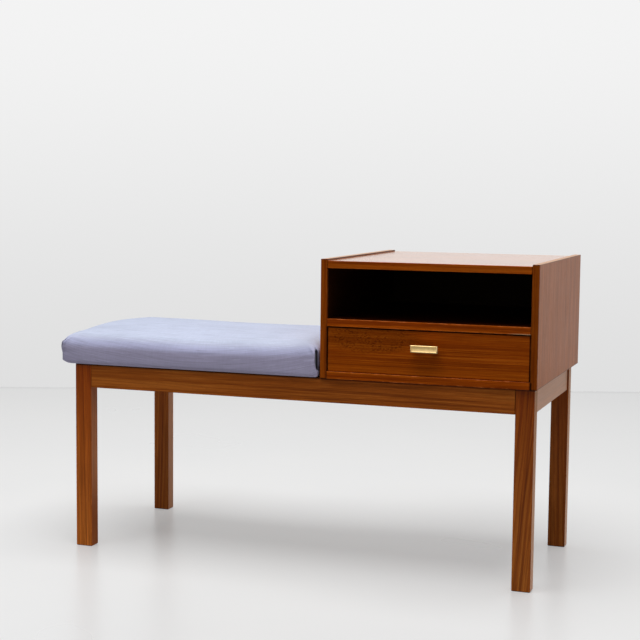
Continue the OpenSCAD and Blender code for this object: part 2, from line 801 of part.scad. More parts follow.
// Space of the bottom panel's grooves, wider than the panel by the given gap
module bottom_space(gap) {
    span_box([dr_x0 + drawer_wood_t - bottom_groove_d - gap, dr_wood_y0 - bottom_groove_d - gap,
              dr_floor_z0],
             [dr_x1 - drawer_wood_t + bottom_groove_d + gap, dr_y1 + (gap > 0 ? cut_over : 0),
              dr_floor_z1 + gap]);
}

pull_post_xs = [pull_x - pull_spacing / 2, pull_x + pull_spacing / 2];

module drawer_front() {
    color(teak) difference() {
        eased_span([dr_x0, dr_y0, dr_z0], [dr_x1, dr_wood_y0, dr_z1], drawer_ease);
        drawer_dowel_set(dowel_gap);
        bottom_space(bottom_gap);
        for (x = pull_post_xs)
            bar_y([x, dr_y0 - cut_over, pull_z], drawer_front_t + 2 * cut_over,
                  pull_screw_d + 2 * screw_gap);
    }
}

// A side: outer groove for the runner, inner groove for the bottom panel
module drawer_side(x0, outer_x) {
    color(beech) difference() {
        eased_span([x0, dr_wood_y0, dr_side_z0], [x0 + drawer_wood_t, dr_y1, dr_side_z1], inner_ease);
        translate([outer_x - runner_groove_d, dr_wood_y0 + groove_stop, groove_z0])
            cube([2 * runner_groove_d, drawer_depth, groove_z1 - groove_z0]);
        bottom_space(bottom_gap);
        drawer_dowel_set(dowel_gap);
        back_corner_fixings(screw_gap);
    }
}

module drawer_side_left() drawer_side(dr_x0, dr_x0);
module drawer_side_right() drawer_side(dr_x1 - drawer_wood_t, dr_x1);

module drawer_back() {
    color(beech) difference() {
        eased_span([dr_x0 + drawer_wood_t, dr_y1 - drawer_wood_t, dr_floor_z1],
                   [dr_x1 - drawer_wood_t, dr_y1, dr_side_z1], inner_ease);
        back_corner_fixings(screw_gap);
        bottom_fixings(screw_gap);
    }
}

module drawer_bottom() {
    color(ply) difference() {
        bottom_space(0);
        bottom_fixings(screw_gap);
    }
}

module drawer_dowels() color(beech) drawer_dowel_set();
module drawer_back_screws() color(steel) back_corner_fixings(0);
module drawer_bottom_screws() color(steel) bottom_fixings(0);

// Radius of the hollow: an arc as wide as the bar inside its rim and as deep as the hollow
hollow_half_w = pull_h / 2 - pull_rim;
hollow_r = (pow(hollow_half_w, 2) + pow(pull_hollow, 2)) / (2 * pull_hollow);

// Bar with a hollowed face inside a narrow rim, on two posts
module drawer_pull() {
    pull_y0 = pull_y1 - pull_t;
    color(brass) difference() {
        union() {
            eased_span([pull_x - pull_len / 2, pull_y0, pull_z - pull_h / 2],
                       [pull_x + pull_len / 2, pull_y1, pull_z + pull_h / 2], pull_ease);
            for (x = pull_post_xs) bar_y([x, pull_y1 - pull_t / 2, pull_z],
                                         pull_standoff + pull_t / 2, pull_post_d);
        }
        translate([pull_x - pull_len / 2 + pull_rim, pull_y0 - hollow_r + pull_hollow, pull_z])
            rotate([0, 90, 0])
            cylinder(h = pull_len - 2 * pull_rim, r = hollow_r, $fn = 2 * round_fn);
        for (x = pull_post_xs) bar_y([x, dr_y0 + cut_over, pull_z],
                                     -pull_screw_in_post - cut_over, pull_screw_d + 2 * screw_gap);
    }
}

// Pan-headed screws from inside the drawer into the posts
module pull_screws() {
    head_d = pull_screw_d * head_d_share;
    head_h = pull_screw_d * pan_h_share;
    color(steel) for (x = pull_post_xs) difference() {
        union() {
            bar_y([x, dr_wood_y0, pull_z], head_h, head_d);
            bar_y([x, dr_y0 - pull_screw_in_post + dowel_end_gap, pull_z],
                  drawer_front_t + pull_screw_in_post - dowel_end_gap, pull_screw_d);
        }
        translate([x - head_d, dr_wood_y0 + head_h - pull_screw_d * slot_d_share,
                   pull_z - pull_screw_d * slot_w_share / 2])
            cube([2 * head_d, pull_screw_d * slot_d_share + cut_over, pull_screw_d * slot_w_share]);
    }
}

leg_front_left();
leg_front_right();
leg_rear_left();
leg_rear_right();
apron_front();
apron_rear();
apron_left();
apron_right();
cross_rail();
corner_block_front_left();
corner_block_front_right();
corner_block_rear_left();
corner_block_rear_right();
frame_dowels();
corner_block_screws();
seat_board();
seat_cushion();
seat_screws();
cabinet_side_left();
cabinet_side_right();
cabinet_top();
cabinet_shelf();
cabinet_bottom();
cabinet_back();
lipping_side_left();
lipping_side_right();
lipping_top();
lipping_shelf();
lipping_bottom();
cabinet_dowels();
cabinet_screws();
back_screws();
drawer_runner_left();
drawer_runner_right();
runner_screws();
drawer_front();
drawer_side_left();
drawer_side_right();
drawer_back();
drawer_bottom();
drawer_dowels();
drawer_back_screws();
drawer_bottom_screws();
drawer_pull();
pull_screws();
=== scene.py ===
"""Telephone bench in teak, with a lilac seat pad and a brass drawer pull."""

import math

import bmesh
import bpy
import numpy as np
from mathutils import Matrix, Vector
from mathutils.bvhtree import BVHTree


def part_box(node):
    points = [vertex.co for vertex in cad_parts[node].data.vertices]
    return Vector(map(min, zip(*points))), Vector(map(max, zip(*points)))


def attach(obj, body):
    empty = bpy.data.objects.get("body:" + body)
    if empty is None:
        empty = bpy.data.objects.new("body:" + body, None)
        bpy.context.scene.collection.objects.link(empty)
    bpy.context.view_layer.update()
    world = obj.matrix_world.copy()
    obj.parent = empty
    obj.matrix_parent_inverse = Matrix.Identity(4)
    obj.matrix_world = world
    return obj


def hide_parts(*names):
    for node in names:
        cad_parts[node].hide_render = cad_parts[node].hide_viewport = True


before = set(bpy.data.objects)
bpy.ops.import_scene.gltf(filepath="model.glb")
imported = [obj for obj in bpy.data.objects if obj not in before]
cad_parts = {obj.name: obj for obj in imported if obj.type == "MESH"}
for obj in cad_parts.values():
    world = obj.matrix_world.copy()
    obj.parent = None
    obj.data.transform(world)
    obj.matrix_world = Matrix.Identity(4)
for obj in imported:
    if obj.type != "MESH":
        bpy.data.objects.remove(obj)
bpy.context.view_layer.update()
scene = bpy.context.scene
scene.view_settings.view_transform = "Standard"


def placed(name, data):
    made = bpy.data.objects.new(name, data)
    scene.collection.objects.link(made)
    return made


# Camera: turn in degrees, place, focal length and picture width in pixels, and sensor width
YAW, PITCH, ROLL = (math.radians(a) for a in (19.691, 5.397, 0.589))
CAMERA_AT = Vector((0.9137, -2.5650, 0.6935))
FOCAL_PX, PICTURE_PX, SENSOR_MM = 1419.52, 640, 36

forward = Vector((-math.sin(YAW) * math.cos(PITCH), math.cos(YAW) * math.cos(PITCH), -math.sin(PITCH)))
level_right = Vector((math.cos(YAW), math.sin(YAW), 0))
level_up = level_right.cross(forward)
right = math.cos(ROLL) * level_right + math.sin(ROLL) * level_up
up = math.cos(ROLL) * level_up - math.sin(ROLL) * level_right

camera_data = bpy.data.cameras.new("camera")
camera_data.sensor_width = SENSOR_MM
camera_data.lens = FOCAL_PX * SENSOR_MM / PICTURE_PX
camera = placed("camera", camera_data)
camera.matrix_world = Matrix.Translation(CAMERA_AT) @ Matrix((right, up, -forward)).transposed().to_4x4()
scene.camera = camera


# Material building
class Tree:
    """A node tree, with short calls that add a node and return its output."""

    def __init__(self, owner):
        owner.use_nodes = True
        self.tree = owner.node_tree
        self.tree.nodes.clear()
        self.coords = self.node("ShaderNodeTexCoord").outputs

    def node(self, kind, **settings):
        made = self.tree.nodes.new(kind)
        for key, value in settings.items():
            setattr(made, key, value)
        return made

    def put(self, socket, value):
        if isinstance(value, bpy.types.NodeSocket):
            self.tree.links.new(value, socket)
        elif socket.type == "RGBA" and len(value) == 3:
            socket.default_value = (*value, 1)
        else:
            socket.default_value = value

    def filled(self, made, *values):
        """A node's first output, once its first inputs have their values."""
        for socket, value in zip(made.inputs, values):
            self.put(socket, value)
        return made.outputs[0]

    def math(self, operation, *values):
        return self.filled(self.node("ShaderNodeMath", operation=operation), *values)

    def plus(self, a, b):
        return self.math("ADD", a, b)

    def minus(self, a, b):
        return self.math("SUBTRACT", a, b)

    def times(self, a, b):
        return self.math("MULTIPLY", a, b)

    def away(self, value, middle):
        return self.math("ABSOLUTE", self.minus(value, middle))

    def length(self, a, b):
        return self.math("SQRT", self.plus(self.times(a, a), self.times(b, b)))

    def oval(self, places, middle, half):
        """Distance of a place from an oval's middle, which is 1 on the oval."""
        ways = (self.math("DIVIDE", self.minus(p, m), h) for p, m, h in zip(places, middle, half))
        return self.length(*ways)

    def split(self, vector):
        made = self.node("ShaderNodeSeparateXYZ")
        self.put(made.inputs[0], vector)
        return tuple(made.outputs)

    def join(self, *parts):
        return self.filled(self.node("ShaderNodeCombineXYZ"), *parts)

    def remap(self, value, low, high, to_low=0.0, to_high=1.0, smooth=True):
        made = self.node("ShaderNodeMapRange", interpolation_type="SMOOTHSTEP" if smooth else "LINEAR")
        return self.filled(made, value, low, high, to_low, to_high)

    def layer(self, share, under, over):
        """A share of one shader over another."""
        return self.filled(self.node("ShaderNodeMixShader"), share, under, over)


class Graph(Tree):
    """The node tree of a material, with the place and the direction of its surface."""

    def __init__(self, name):
        self.material = bpy.data.materials.new(name)
        super().__init__(self.material)
        self.shader = self.node("ShaderNodeBsdfPrincipled")
        self.surface = self.node("ShaderNodeOutputMaterial").inputs["Surface"]
        self.put(self.surface, self.shader.outputs[0])
        self.point = self.coords["Object"]
        self.place = self.x, self.y, self.z = self.split(self.point)
        self.facing = self.split(self.coords["Normal"])

    def set(self, **values):
        for key, value in values.items():
            self.put(self.shader.inputs[key.replace("_", " ")], value)

    def faces(self, i):
        """Share of the normal along an axis, whichever way it points."""
        return self.math("ABSOLUTE", self.facing[i])

    def mix(self, share, a, b, blend="MIX"):
        made = self.node("ShaderNodeMix", data_type="RGBA", blend_type=blend)
        for index, value in ((0, share), (6, a), (7, b)):
            self.put(made.inputs[index], value)
        return made.outputs[2]

    def tint(self, colour, factor):
        return self.mix(1.0, colour, factor, "MULTIPLY")

    def shade(self, colour, factor):
        return self.tint(colour, self.join(factor, factor, factor))

    def noise(self, vector, scale, detail=2.0, roughness=0.5, distortion=0.0):
        made = self.node("ShaderNodeTexNoise")
        self.put(made.inputs["Vector"], vector)
        settings = {"Scale": scale, "Detail": detail, "Roughness": roughness, "Distortion": distortion}
        for key, value in settings.items():
            self.put(made.inputs[key], value)
        return made.outputs["Fac"]

    def streaks(self, places, scales, detail=2.0, roughness=0.5, distortion=0.0):
        """Noise over places, each stretched by a scale of its own. A plain number is taken as it is."""
        stretched = [p if isinstance(p, float) else self.times(p, s) for p, s in zip(places, scales)]
        return self.noise(self.join(*stretched), 1.0, detail, roughness, distortion)

    def ramp(self, value, *stops):
        made = self.node("ShaderNodeValToRGB")
        ramp = made.color_ramp
        while len(ramp.elements) < len(stops):
            ramp.elements.new(0.5)
        for element, (place, colour) in zip(ramp.elements, stops):
            element.position, element.color = place, (*colour, 1)
        self.put(made.inputs[0], value)
        return made.outputs["Color"]

    def attribute(self, name, output):
        return self.node("ShaderNodeAttribute", attribute_name=name).outputs[output]

    def bump(self, height, distance, strength):
        made = self.node("ShaderNodeBump")
        for key, value in {"Strength": strength, "Distance": distance, "Height": height}.items():
            self.put(made.inputs[key], value)
        return made.outputs[0]


def scaled(colour, factor):
    return [factor * c for c in colour]


# Wood
# A board's place in the patterns along and across its grain: factor of its seed, start, span in metres
BOARD_SHIFTS = ((0.731, 0.17, 3), (0.377, 0.41, 2), (0.593, 0.23, 2))
# Patterns: stretch along the grain and across it, detail, roughness and distortion
SWAY = (2.2, 5.0, 2.0, 0.5, 0.0)
FIBRES = (16, 620, 3.0, 0.6, 0.0)
PORES = (110, 2100, 1.0, 0.5, 0.0)
BANDS = (4, 22, 2.0, 0.5, 0.0)
LINES = (1.3, 250, 2.0, 0.5, 0.3)
# Middle of the blended pattern, and steps to dark, light and again middle wood at contrast 1
PATTERN_MID, TO_DARK, TO_LIGHT, TO_MIDDLE = 0.49, -0.16, 0.12, 0.32
# Share of the normal where a face starts to face an axis, and where it fully does
FACING = (0.7, 0.95)
# Worn edges, which also carry painted highlights: their width, and the scale of the patches in them
WEAR_HIGHLIGHT_W, WEAR_HIGHLIGHT_SCALE = 0.0016, 60.0
# Dark finish in the end joints, and painted shade in the line under the pad and the cabinet: where each
# starts to fade and ends, and its share at each
END_JOINT, SHADE_LINE = (0.0004, 0.0017, 0.75, 0.0), (0.0010, 0.0040, 0.88, 0.0)
# Teak for the painted sheen on faces along the bench's ends, and for the painted reflection on narrow edges
# that face up
SIDE_SHEEN_TEAK, TOP_REFLECTION_TEAK, TOP_REFLECTION_SHARE = (0.95, 0.53, 0.32), (0.50, 0.27, 0.14), 0.8
# Where a leg's sideways faces turn darker near the floor: where that fades, below and above its upper end,
# and its share
LOW_DARK_FADE, LOW_DARK_SHARE = (-0.08, 0.05), 0.75
# Tints of a leg's painted light at its foot and its painted shade at the top
FOOT_TINT, TOP_TINT = (1.28, 1.36, 1.45), (0.62, 0.41, 0.08)
PORE_DEPTH = 0.00012


def to_face(g, low, high, i):
    """Distance to the nearer of a box's two faces along one axis."""
    return g.minus((high[i] - low[i]) / 2, g.away(g.place[i], (low[i] + high[i]) / 2))


def edge_wear_and_highlight(g, low, high):
    """1 on the twelve edges of a box and 0 away from them, from the second least distance to its faces."""
    a, b, c = (to_face(g, low, high, i) for i in range(3))
    second = g.math("MAXIMUM", g.math("MINIMUM", a, b), g.math("MINIMUM", g.math("MAXIMUM", a, b), c))
    return g.remap(second, 0.0, WEAR_HIGHLIGHT_W, 1.0, 0.0)


def grain_of(g, low, high, k, seed, slant):
    """Places along the grain and across it both ways, and the board's middle across it."""
    order = [k] + [i for i in range(3) if i != k]
    shifts = [(seed * factor + start) % 1 * span for factor, start, span in BOARD_SHIFTS]
    u, v, w = (g.plus(g.place[i], shift) for i, shift in zip(order, shifts))
    if slant:
        # The grain runs out of the board's line
        v = g.plus(v, g.times(g.minus(g.place[k], (low[k] + high[k]) / 2), slant))
    middle = [(low[i] + high[i]) / 2 + shift for i, shift in zip(order[1:], shifts[1:])]
    return (u, v, w), middle


def pattern(g, grain, along, across, *noise):
    return g.streaks(grain, (along, across, across), *noise)


def growth(g, grain, middle, fibre, seed, ring_mm, centre, wave):
    """Growth rings round a heart that lies off the board's middle, blended with lines and fibres."""
    u, v, w = grain
    sway = g.times(g.minus(pattern(g, grain, *SWAY), 0.5), wave * 2)
    radius = g.plus(g.length(g.minus(v, middle[0] + centre[0]), g.minus(w, middle[1] + centre[1])), sway)
    rings = g.streaks((radius, u, seed * 1.7), (1000 / ring_mm, 1.5, 1), 3.0, 0.55)
    fine_rings = g.streaks((radius, u, seed * 2.3), (2600 / ring_mm, 3.0, 1))
    lines = pattern(g, grain, *LINES)
    return g.plus(g.plus(g.times(rings, 0.36), g.times(fine_rings, 0.20)),
                  g.plus(g.times(lines, 0.30), g.times(fibre, 0.14)))


def painted_side_sheen(g, colour, dark, share, darker_below):
    """Painted sheen on the faces along the bench's ends, which near the floor, if asked, are darker instead.
    """
    sideways = g.remap(g.faces(0), *FACING)
    if darker_below is not None:
        fade = [darker_below + step for step in LOW_DARK_FADE]
        darkened_low = g.remap(g.z, *fade, LOW_DARK_SHARE, 0.0)
        colour = g.mix(g.times(sideways, darkened_low), colour, scaled(dark, 0.8))
        sideways = g.times(sideways, g.remap(g.z, *fade))
    return g.mix(g.times(sideways, share), colour, SIDE_SHEEN_TEAK)


def aged_and_lit(g, colour, low, high, k, dark, light, inside=None, wear_and_highlight=0.45, side_sheen=0.0, darker_below=None,
         shaded_top=0.0, seam_z=None, top_reflection=False):
    """End grain, wear and old finish of a board that runs along axis k, with painted shade, sheen, highlights
    and reflection.
    """
    colour = g.mix(g.remap(g.faces(k), *FACING, 0.0, 0.45), colour, dark)
    # Faces inside the cabinet get painted shade, near black
    if inside is not None:
        colour = g.mix(inside(g), colour, scaled(dark, 0.10))
    # Edges are rubbed paler; at full strength this also paints the highlight that a rounded edge catches
    patches = g.remap(g.noise(g.point, WEAR_HIGHLIGHT_SCALE, 2.0, 0.6), 0.45, 0.70, 0.05, wear_and_highlight)
    rubbed_and_highlight = [min(1.0, 1.35 * c + 0.05 * wear_and_highlight) for c in light]
    colour = g.mix(g.times(edge_wear_and_highlight(g, low, high), patches), colour, rubbed_and_highlight)
    # A pale painted sheen on the faces along the bench's ends
    if side_sheen:
        colour = painted_side_sheen(g, colour, dark, side_sheen, darker_below)
    if shaded_top:
        # Painted shade and light: darkest high up under the apron, and paler towards the foot
        tint = g.mix(g.remap(g.z, low.z, high.z, smooth=False), FOOT_TINT, TOP_TINT)
        colour = g.mix(shaded_top, colour, g.tint(colour, tint))
    # The joint at each end holds a dark line of finish. Shade is painted along the frame's top, under the pad
    # and the cabinet
    colour = g.mix(g.remap(to_face(g, low, high, k), *END_JOINT), colour, scaled(dark, 0.18))
    if seam_z is not None:
        colour = g.mix(g.remap(g.minus(seam_z, g.z), *SHADE_LINE), colour, scaled(dark, 0.12))
    if top_reflection:
        # Painted reflection: the narrow edge that faces up is painted pale like the glare on the panel beside
        # it
        upward = g.remap(g.facing[2], *FACING)
        colour = g.mix(g.times(upward, TOP_REFLECTION_SHARE), colour, TOP_REFLECTION_TEAK)
    return colour


def wood(name, node, axis, seed, colours, ring_mm=5.0, centre=(0.05, 0.09), wave=0.010, slant=0.0, tone=1.0,
         contrast=1.9, streak=0.18, fleck=0.5, figure=None, roughness=0.40, specular=0.05, coat=0.0, **age_and_light):
    """Planed wood of one board: growth rings, fibres and pores along its own grain, its age, and the light
    and shade painted on it.
    """
    g = Graph(name)
    low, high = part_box(node)
    k = "xyz".index(axis)
    dark, middle, light = (scaled(colour, tone) for colour in colours)
    grain, board_middle = grain_of(g, low, high, k, seed, slant)
    fibre = pattern(g, grain, *FIBRES)
    pore = g.remap(pattern(g, grain, *PORES), 0.60, 0.72)
    bands = pattern(g, grain, *BANDS)
    rings = growth(g, grain, board_middle, fibre, seed, ring_mm, centre, wave)
    stops = [PATTERN_MID + way / contrast for way in (TO_DARK, 0.0, TO_LIGHT, TO_MIDDLE)]
    colour = g.ramp(rings, *zip((*stops[:3], min(0.95, stops[3])), (dark, middle, light, middle)))
    colour = g.shade(colour, g.remap(bands, 0.25, 0.75, 1 - streak, 1 + streak))
    colour = g.shade(colour, g.remap(fibre, 0.25, 0.75, 0.86, 1.12))
    colour = g.mix(g.times(pore, fleck), colour, dark)
    if figure is not None:
        colour = figure(g, colour, grain, dark)
    dullness = g.plus(g.remap(fibre, 0.3, 0.7, roughness + 0.05, roughness - 0.05), g.times(pore, 0.15))
    g.set(Base_Color=aged_and_lit(g, colour, low, high, k, dark, light, **age_and_light), Roughness=dullness,
          Specular_IOR_Level=specular, Coat_Weight=coat, Coat_Roughness=0.16,
          Normal=g.bump(g.minus(g.times(fibre, 0.5), pore), PORE_DEPTH, 0.5))
    return g.material


def dress(name, material):
    """Gives a CAD node its finished material."""
    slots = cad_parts[name].data.materials
    for i in range(len(slots)):
        slots[i] = material
    if not len(slots):
        slots.append(material)


def board(name, kind, axis, seed, colours, **looks):
    """Dresses one board in wood of its own, with its grain along an axis."""
    dress(name, wood(f"{name}_{kind}", name, axis, seed, colours, **looks))


# Dark, middle and light of each wood. The edges' teak is that of the front strips and the drawer
TEAK = ((0.205, 0.044, 0.0040), (0.355, 0.085, 0.0080), (0.475, 0.138, 0.018))
TEAK_TOP = ((0.215, 0.056, 0.0060), (0.370, 0.108, 0.0110), (0.490, 0.165, 0.022))
TEAK_EDGE = ((0.200, 0.030, 0.0008), (0.350, 0.062, 0.0018), (0.470, 0.104, 0.006))
TEAK_SIDE = ((0.390, 0.096, 0.0120), (0.505, 0.135, 0.0170), (0.585, 0.173, 0.024))
BEECH = ((0.36, 0.21, 0.10), (0.50, 0.32, 0.17), (0.58, 0.40, 0.23))
PLY = ((0.42, 0.24, 0.11), (0.51, 0.31, 0.155), (0.58, 0.37, 0.20))

# Legs stand on end, aprons lie along their own lengths
frame_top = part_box("apron_front")[1].z
# The front left leg's higher tone paints the light that falls on it
LEGS = {
    "leg_front_left": dict(tone=1.50, side_sheen=0.27, darker_below=0.13, shaded_top=1.0, contrast=1.15,
                           slant=0.02, wave=0.006),
    "leg_front_right": dict(tone=1.03, side_sheen=0.66, shaded_top=1.0, contrast=1.7, slant=-0.075, wave=0.016),
    "leg_rear_left": dict(tone=1.05, side_sheen=0.42, shaded_top=0.15, contrast=1.4, slant=-0.02, wave=0.006),
    "leg_rear_right": dict(tone=0.84, side_sheen=0.80, shaded_top=0.6, contrast=1.5, slant=0.03, wave=0.008)}
for seed, (name, looks) in enumerate(LEGS.items(), 3):
    board(name, "teak", "z", seed, TEAK, ring_mm=4.0, centre=(0.09, 0.06), specular=0.13, streak=0.12,
          seam_z=frame_top, **looks)

LONG_APRON = dict(specular=0.08, centre=(0.055, 0.012))
END_APRON = dict(specular=0.30, centre=(0.05, 0.015), side_sheen=0.66)
APRONS = {"apron_front": ("x", LONG_APRON), "apron_rear": ("x", LONG_APRON),
          "apron_left": ("y", END_APRON), "apron_right": ("y", END_APRON)}
for seed, (name, (axis, looks)) in enumerate(APRONS.items(), 11):
    board(name, "teak", axis, seed, TEAK, ring_mm=2.8, wave=0.005, streak=0.10, seam_z=frame_top,
          contrast=1.45, tone=1.10, **looks)

# Cabinet
left_low, left_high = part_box("cabinet_side_left")
top_low, top_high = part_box("cabinet_top")
bottom_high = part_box("cabinet_bottom")[1]
right_low, back_low, shelf_low = (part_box("cabinet_" + part)[0] for part in ("side_right", "back", "shelf"))
# Its inside, open to the front, where shade is painted, and how far a face may lie outside it and still look
# into it
OPEN_FRONT, SLACK = 1.0, 0.0008
inner_low = (left_high.x, left_low.y - OPEN_FRONT, bottom_high.z)
inner_high = (right_low.x, back_low.y, top_low.z)


def compartment_shade(g):
    """1 on faces that look into the cabinet, which get painted shade, and 0 on its outside."""
    share = 1.0
    for value, low, high in zip(g.place, inner_low, inner_high):
        share = g.times(share, g.math("GREATER_THAN", value, low - SLACK))
        share = g.times(share, g.math("LESS_THAN", value, high + SLACK))
    return share


def raised_edge(inner_x):
    """Painted shade on the inner face of a side, where it stands over the top panel."""
    def figure(g, colour, grain, dark):
        beside = g.remap(g.away(g.x, inner_x), 0.0002, 0.0007, 0.85, 0.0)
        over = g.remap(g.z, top_high.z + 0.0004, top_high.z + 0.0012)
        return g.mix(g.times(beside, over), colour, scaled(dark, 0.16))
    return figure


def gap_shade(inner_x, outward):
    """Painted shade along the edge of a side's front strip, where the drawer runs beside it."""
    def figure(g, colour, grain, dark):
        off = g.times(g.minus(g.x, inner_x), outward)
        beside = g.remap(g.z, shelf_low.z - 0.001, shelf_low.z + 0.001, 0.62, 0.15)
        colour = g.mix(g.times(g.remap(off, 0.0007, 0.0026, 1.0, 0.0), beside), colour, scaled(dark, 0.2))
        if outward > 0:
            # The joint with the bottom has opened at this end, and the shade in it is painted
            low = g.remap(g.z, bottom_high.z - 0.002, bottom_high.z + 0.001, 0.92, 0.0)
            low = g.times(low, g.remap(off, 0.0020, 0.0042, 1.0, 0.0))
            colour = g.mix(low, colour, scaled(dark, 0.08))
        return colour
    return figure


ARRIS_HIGHLIGHT_TEAK = (0.60, 0.40, 0.22)


def bright_arris(g, colour, grain, dark):
    """Painted highlight: the lower edge of the shelf's front strip is painted pale near its right end."""
    low = g.remap(g.z, shelf_low.z + 0.0006, shelf_low.z + 0.0022, 0.75, 0.0)
    near = g.remap(g.x, right_low.x - 0.045, right_low.x - 0.020)
    return g.mix(g.times(low, near), colour, ARRIS_HIGHLIGHT_TEAK)


# The shelf's and the bottom's front strips have their edges worn at full strength, which paints highlights on
# them too
EDGES = {
    "lipping_side_left": ("z", dict(tone=0.92, figure=gap_shade(left_high.x, -1))),
    "lipping_side_right": ("z", dict(tone=0.70, figure=gap_shade(right_low.x, 1))),
    "lipping_top": ("x", dict(tone=1.18)),
    "lipping_shelf": ("x", dict(tone=1.32, wear_and_highlight=1.0, figure=bright_arris)),
    "lipping_bottom": ("x", dict(tone=1.32, wear_and_highlight=1.0))}
for seed, (name, (axis, looks)) in enumerate(EDGES.items(), 21):
    board(name, "teak", axis, seed, TEAK_EDGE, ring_mm=3.0, centre=(0.12, 0.03), wave=0.003, specular=0.03,
          streak=0.16, **looks)

SIDE = dict(roughness=0.36, specular=0.105, ring_mm=3.0, wave=0.003, centre=(0.10, 0.12), streak=0.06,
            fleck=0.25, contrast=0.8, top_reflection=True)
INNER = dict(ring_mm=5.0, wave=0.006, centre=(0.05, 0.08), specular=0.02)
# The right side's edges are worn at full strength, which paints the highlight on its front edge too
PANELS = {
    "cabinet_side_left": ("z", TEAK_SIDE, dict(SIDE, figure=raised_edge(left_high.x))),
    "cabinet_side_right": ("z", TEAK_SIDE, dict(SIDE, wear_and_highlight=1.0, figure=raised_edge(right_low.x))),
    "cabinet_top": ("x", TEAK_TOP, dict(roughness=0.20, specular=0.5, coat=0.565, ring_mm=5.0, wave=0.008,
                                        centre=(0.02, 0.10), contrast=1.8, streak=0.24)),
    "cabinet_shelf": ("x", TEAK_EDGE, INNER), "cabinet_bottom": ("x", TEAK_EDGE, INNER)}
for seed, (name, (axis, colours, looks)) in enumerate(PANELS.items(), 31):
    board(name, "veneer", axis, seed, colours, inside=compartment_shade, **looks)

# Drawer front: middle and half size of its mottled oval, as shares of its width and height, and its paints
MOTTLE_AT, MOTTLE_HALF = (0.22, 0.78), (0.28, 0.36)
MOTTLE_DARK, LOW_RED = (0.165, 0.040, 0.0014), (0.52, 0.115, 0.004)
LIGHT_FLECK, LIGHT_LINE = (0.46, 0.120, 0.006), (0.55, 0.140, 0.008)
# Painted shadow under the pull: the way from the pull's middle and lower edge to its own middle, and its half
# size
PULL_SHADOW_OFF, PULL_SHADOW_HALF = (0.004, -0.004), (0.030, 0.011)


def mottle_and_painted_shade(g, colour, grain, dark):
    """Flecks over the drawer front's upper left, straight lines low down, a painted shadow under the pull,
    and painted shade along its edges by the gaps.
    """
    x, z = g.x, g.z
    u, w = grain[0], grain[2]
    low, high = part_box("drawer_front")
    width, height = high.x - low.x, high.z - low.z
    oval_middle = (low.x + MOTTLE_AT[0] * width, low.z + MOTTLE_AT[1] * height)
    oval = g.oval((x, z), oval_middle, (MOTTLE_HALF[0] * width, MOTTLE_HALF[1] * height))
    zone = g.remap(oval, 0.55, 1.15, 1.0, 0.0)
    colour = g.mix(g.times(zone, 0.34), colour, MOTTLE_DARK)
    colour = g.mix(g.remap(z, low.z + 0.05 * height, low.z + 0.35 * height, 0.30, 0.0), colour, LOW_RED)
    patchy = g.streaks((u, 0.0, w), (36, 1, 70))
    marks = g.times(zone, g.remap(patchy, 0.35, 0.60, 0.1, 1.0))
    flecks = g.streaks((u, 0.0, w), (230, 1, 400), 1.0, 0.5, 0.6)
    low_zone = g.remap(z, low.z + 0.15 * height, low.z + 0.85 * height, 1.0, 0.15)
    lines = g.streaks((u, 0.0, w), (2.0, 1, 300), 2.0, 0.5, 0.3)
    for value, start, full, where, share, paint in (
            (flecks, 0.53, 0.61, marks, 0.75, scaled(dark, 0.42)),
            (flecks, 0.42, 0.36, marks, 0.40, LIGHT_FLECK),
            (lines, 0.52, 0.64, low_zone, 0.60, scaled(dark, 0.80)),
            (lines, 0.44, 0.36, low_zone, 0.35, LIGHT_LINE)):
        colour = g.mix(g.times(g.times(g.remap(value, start, full), where), share), colour, paint)
    # The pull's shadow is painted on the wood under it
    pull_low, pull_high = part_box("drawer_pull")
    pull_shadow_middle = ((pull_low.x + pull_high.x) / 2 + PULL_SHADOW_OFF[0], pull_low.z + PULL_SHADOW_OFF[1])
    pull_shadow = g.remap(g.oval((x, z), pull_shadow_middle, PULL_SHADOW_HALF), 0.35, 1.25, 0.50, 0.0)
    colour = g.mix(pull_shadow, colour, scaled(dark, 0.45))
    # Painted shade along its upper and left edges, by the gaps round it
    gap = g.math("MAXIMUM", g.remap(g.minus(high.z, z), 0.0004, 0.0022, 0.95, 0.0),
                 g.remap(g.minus(x, low.x), 0.0004, 0.0014, 0.9, 0.0))
    return g.mix(gap, colour, scaled(dark, 0.05))


board("drawer_front", "teak", "x", 41, TEAK_EDGE, ring_mm=3.0, centre=(0.05, -0.16), wave=0.005, tone=1.04,
      streak=0.06, contrast=1.2, specular=0.025, figure=mottle_and_painted_shade)

# Hidden wood, with the axis of its grain
CORNERS = [f"{end}_{side}" for end in ("front", "rear") for side in ("left", "right")]
SLIDES = [f"drawer_{part}_{side}" for part in ("runner", "side") for side in ("left", "right")]
HIDDEN = {"cross_rail": "y", **{f"corner_block_{corner}": "x" for corner in CORNERS}, "frame_dowels": "x",
          "cabinet_dowels": "x", **dict.fromkeys(SLIDES, "y"), "drawer_back": "x", "drawer_dowels": "y"}
for seed, (name, axis) in enumerate(HIDDEN.items(), 51):
    board(name, "beech", axis, seed, BEECH, ring_mm=6.0, wave=0.006, fleck=0.35, roughness=0.55,
          specular=0.35, contrast=1.0)
SHEETS = {"cabinet_back": dict(specular=0.05, inside=compartment_shade), "seat_board": dict(specular=0.3),
          "drawer_bottom": dict(specular=0.3)}
for seed, (name, looks) in enumerate(SHEETS.items(), 71):
    board(name, "ply", "x", seed, PLY, ring_mm=13.0, centre=(0.02, 0.09), wave=0.02, fleck=0.2, roughness=0.6,
          contrast=0.8, streak=0.10, **looks)

# Metal: how high the darkening reaches up the pull from its lower edge
DARKER_RISE = 0.0065


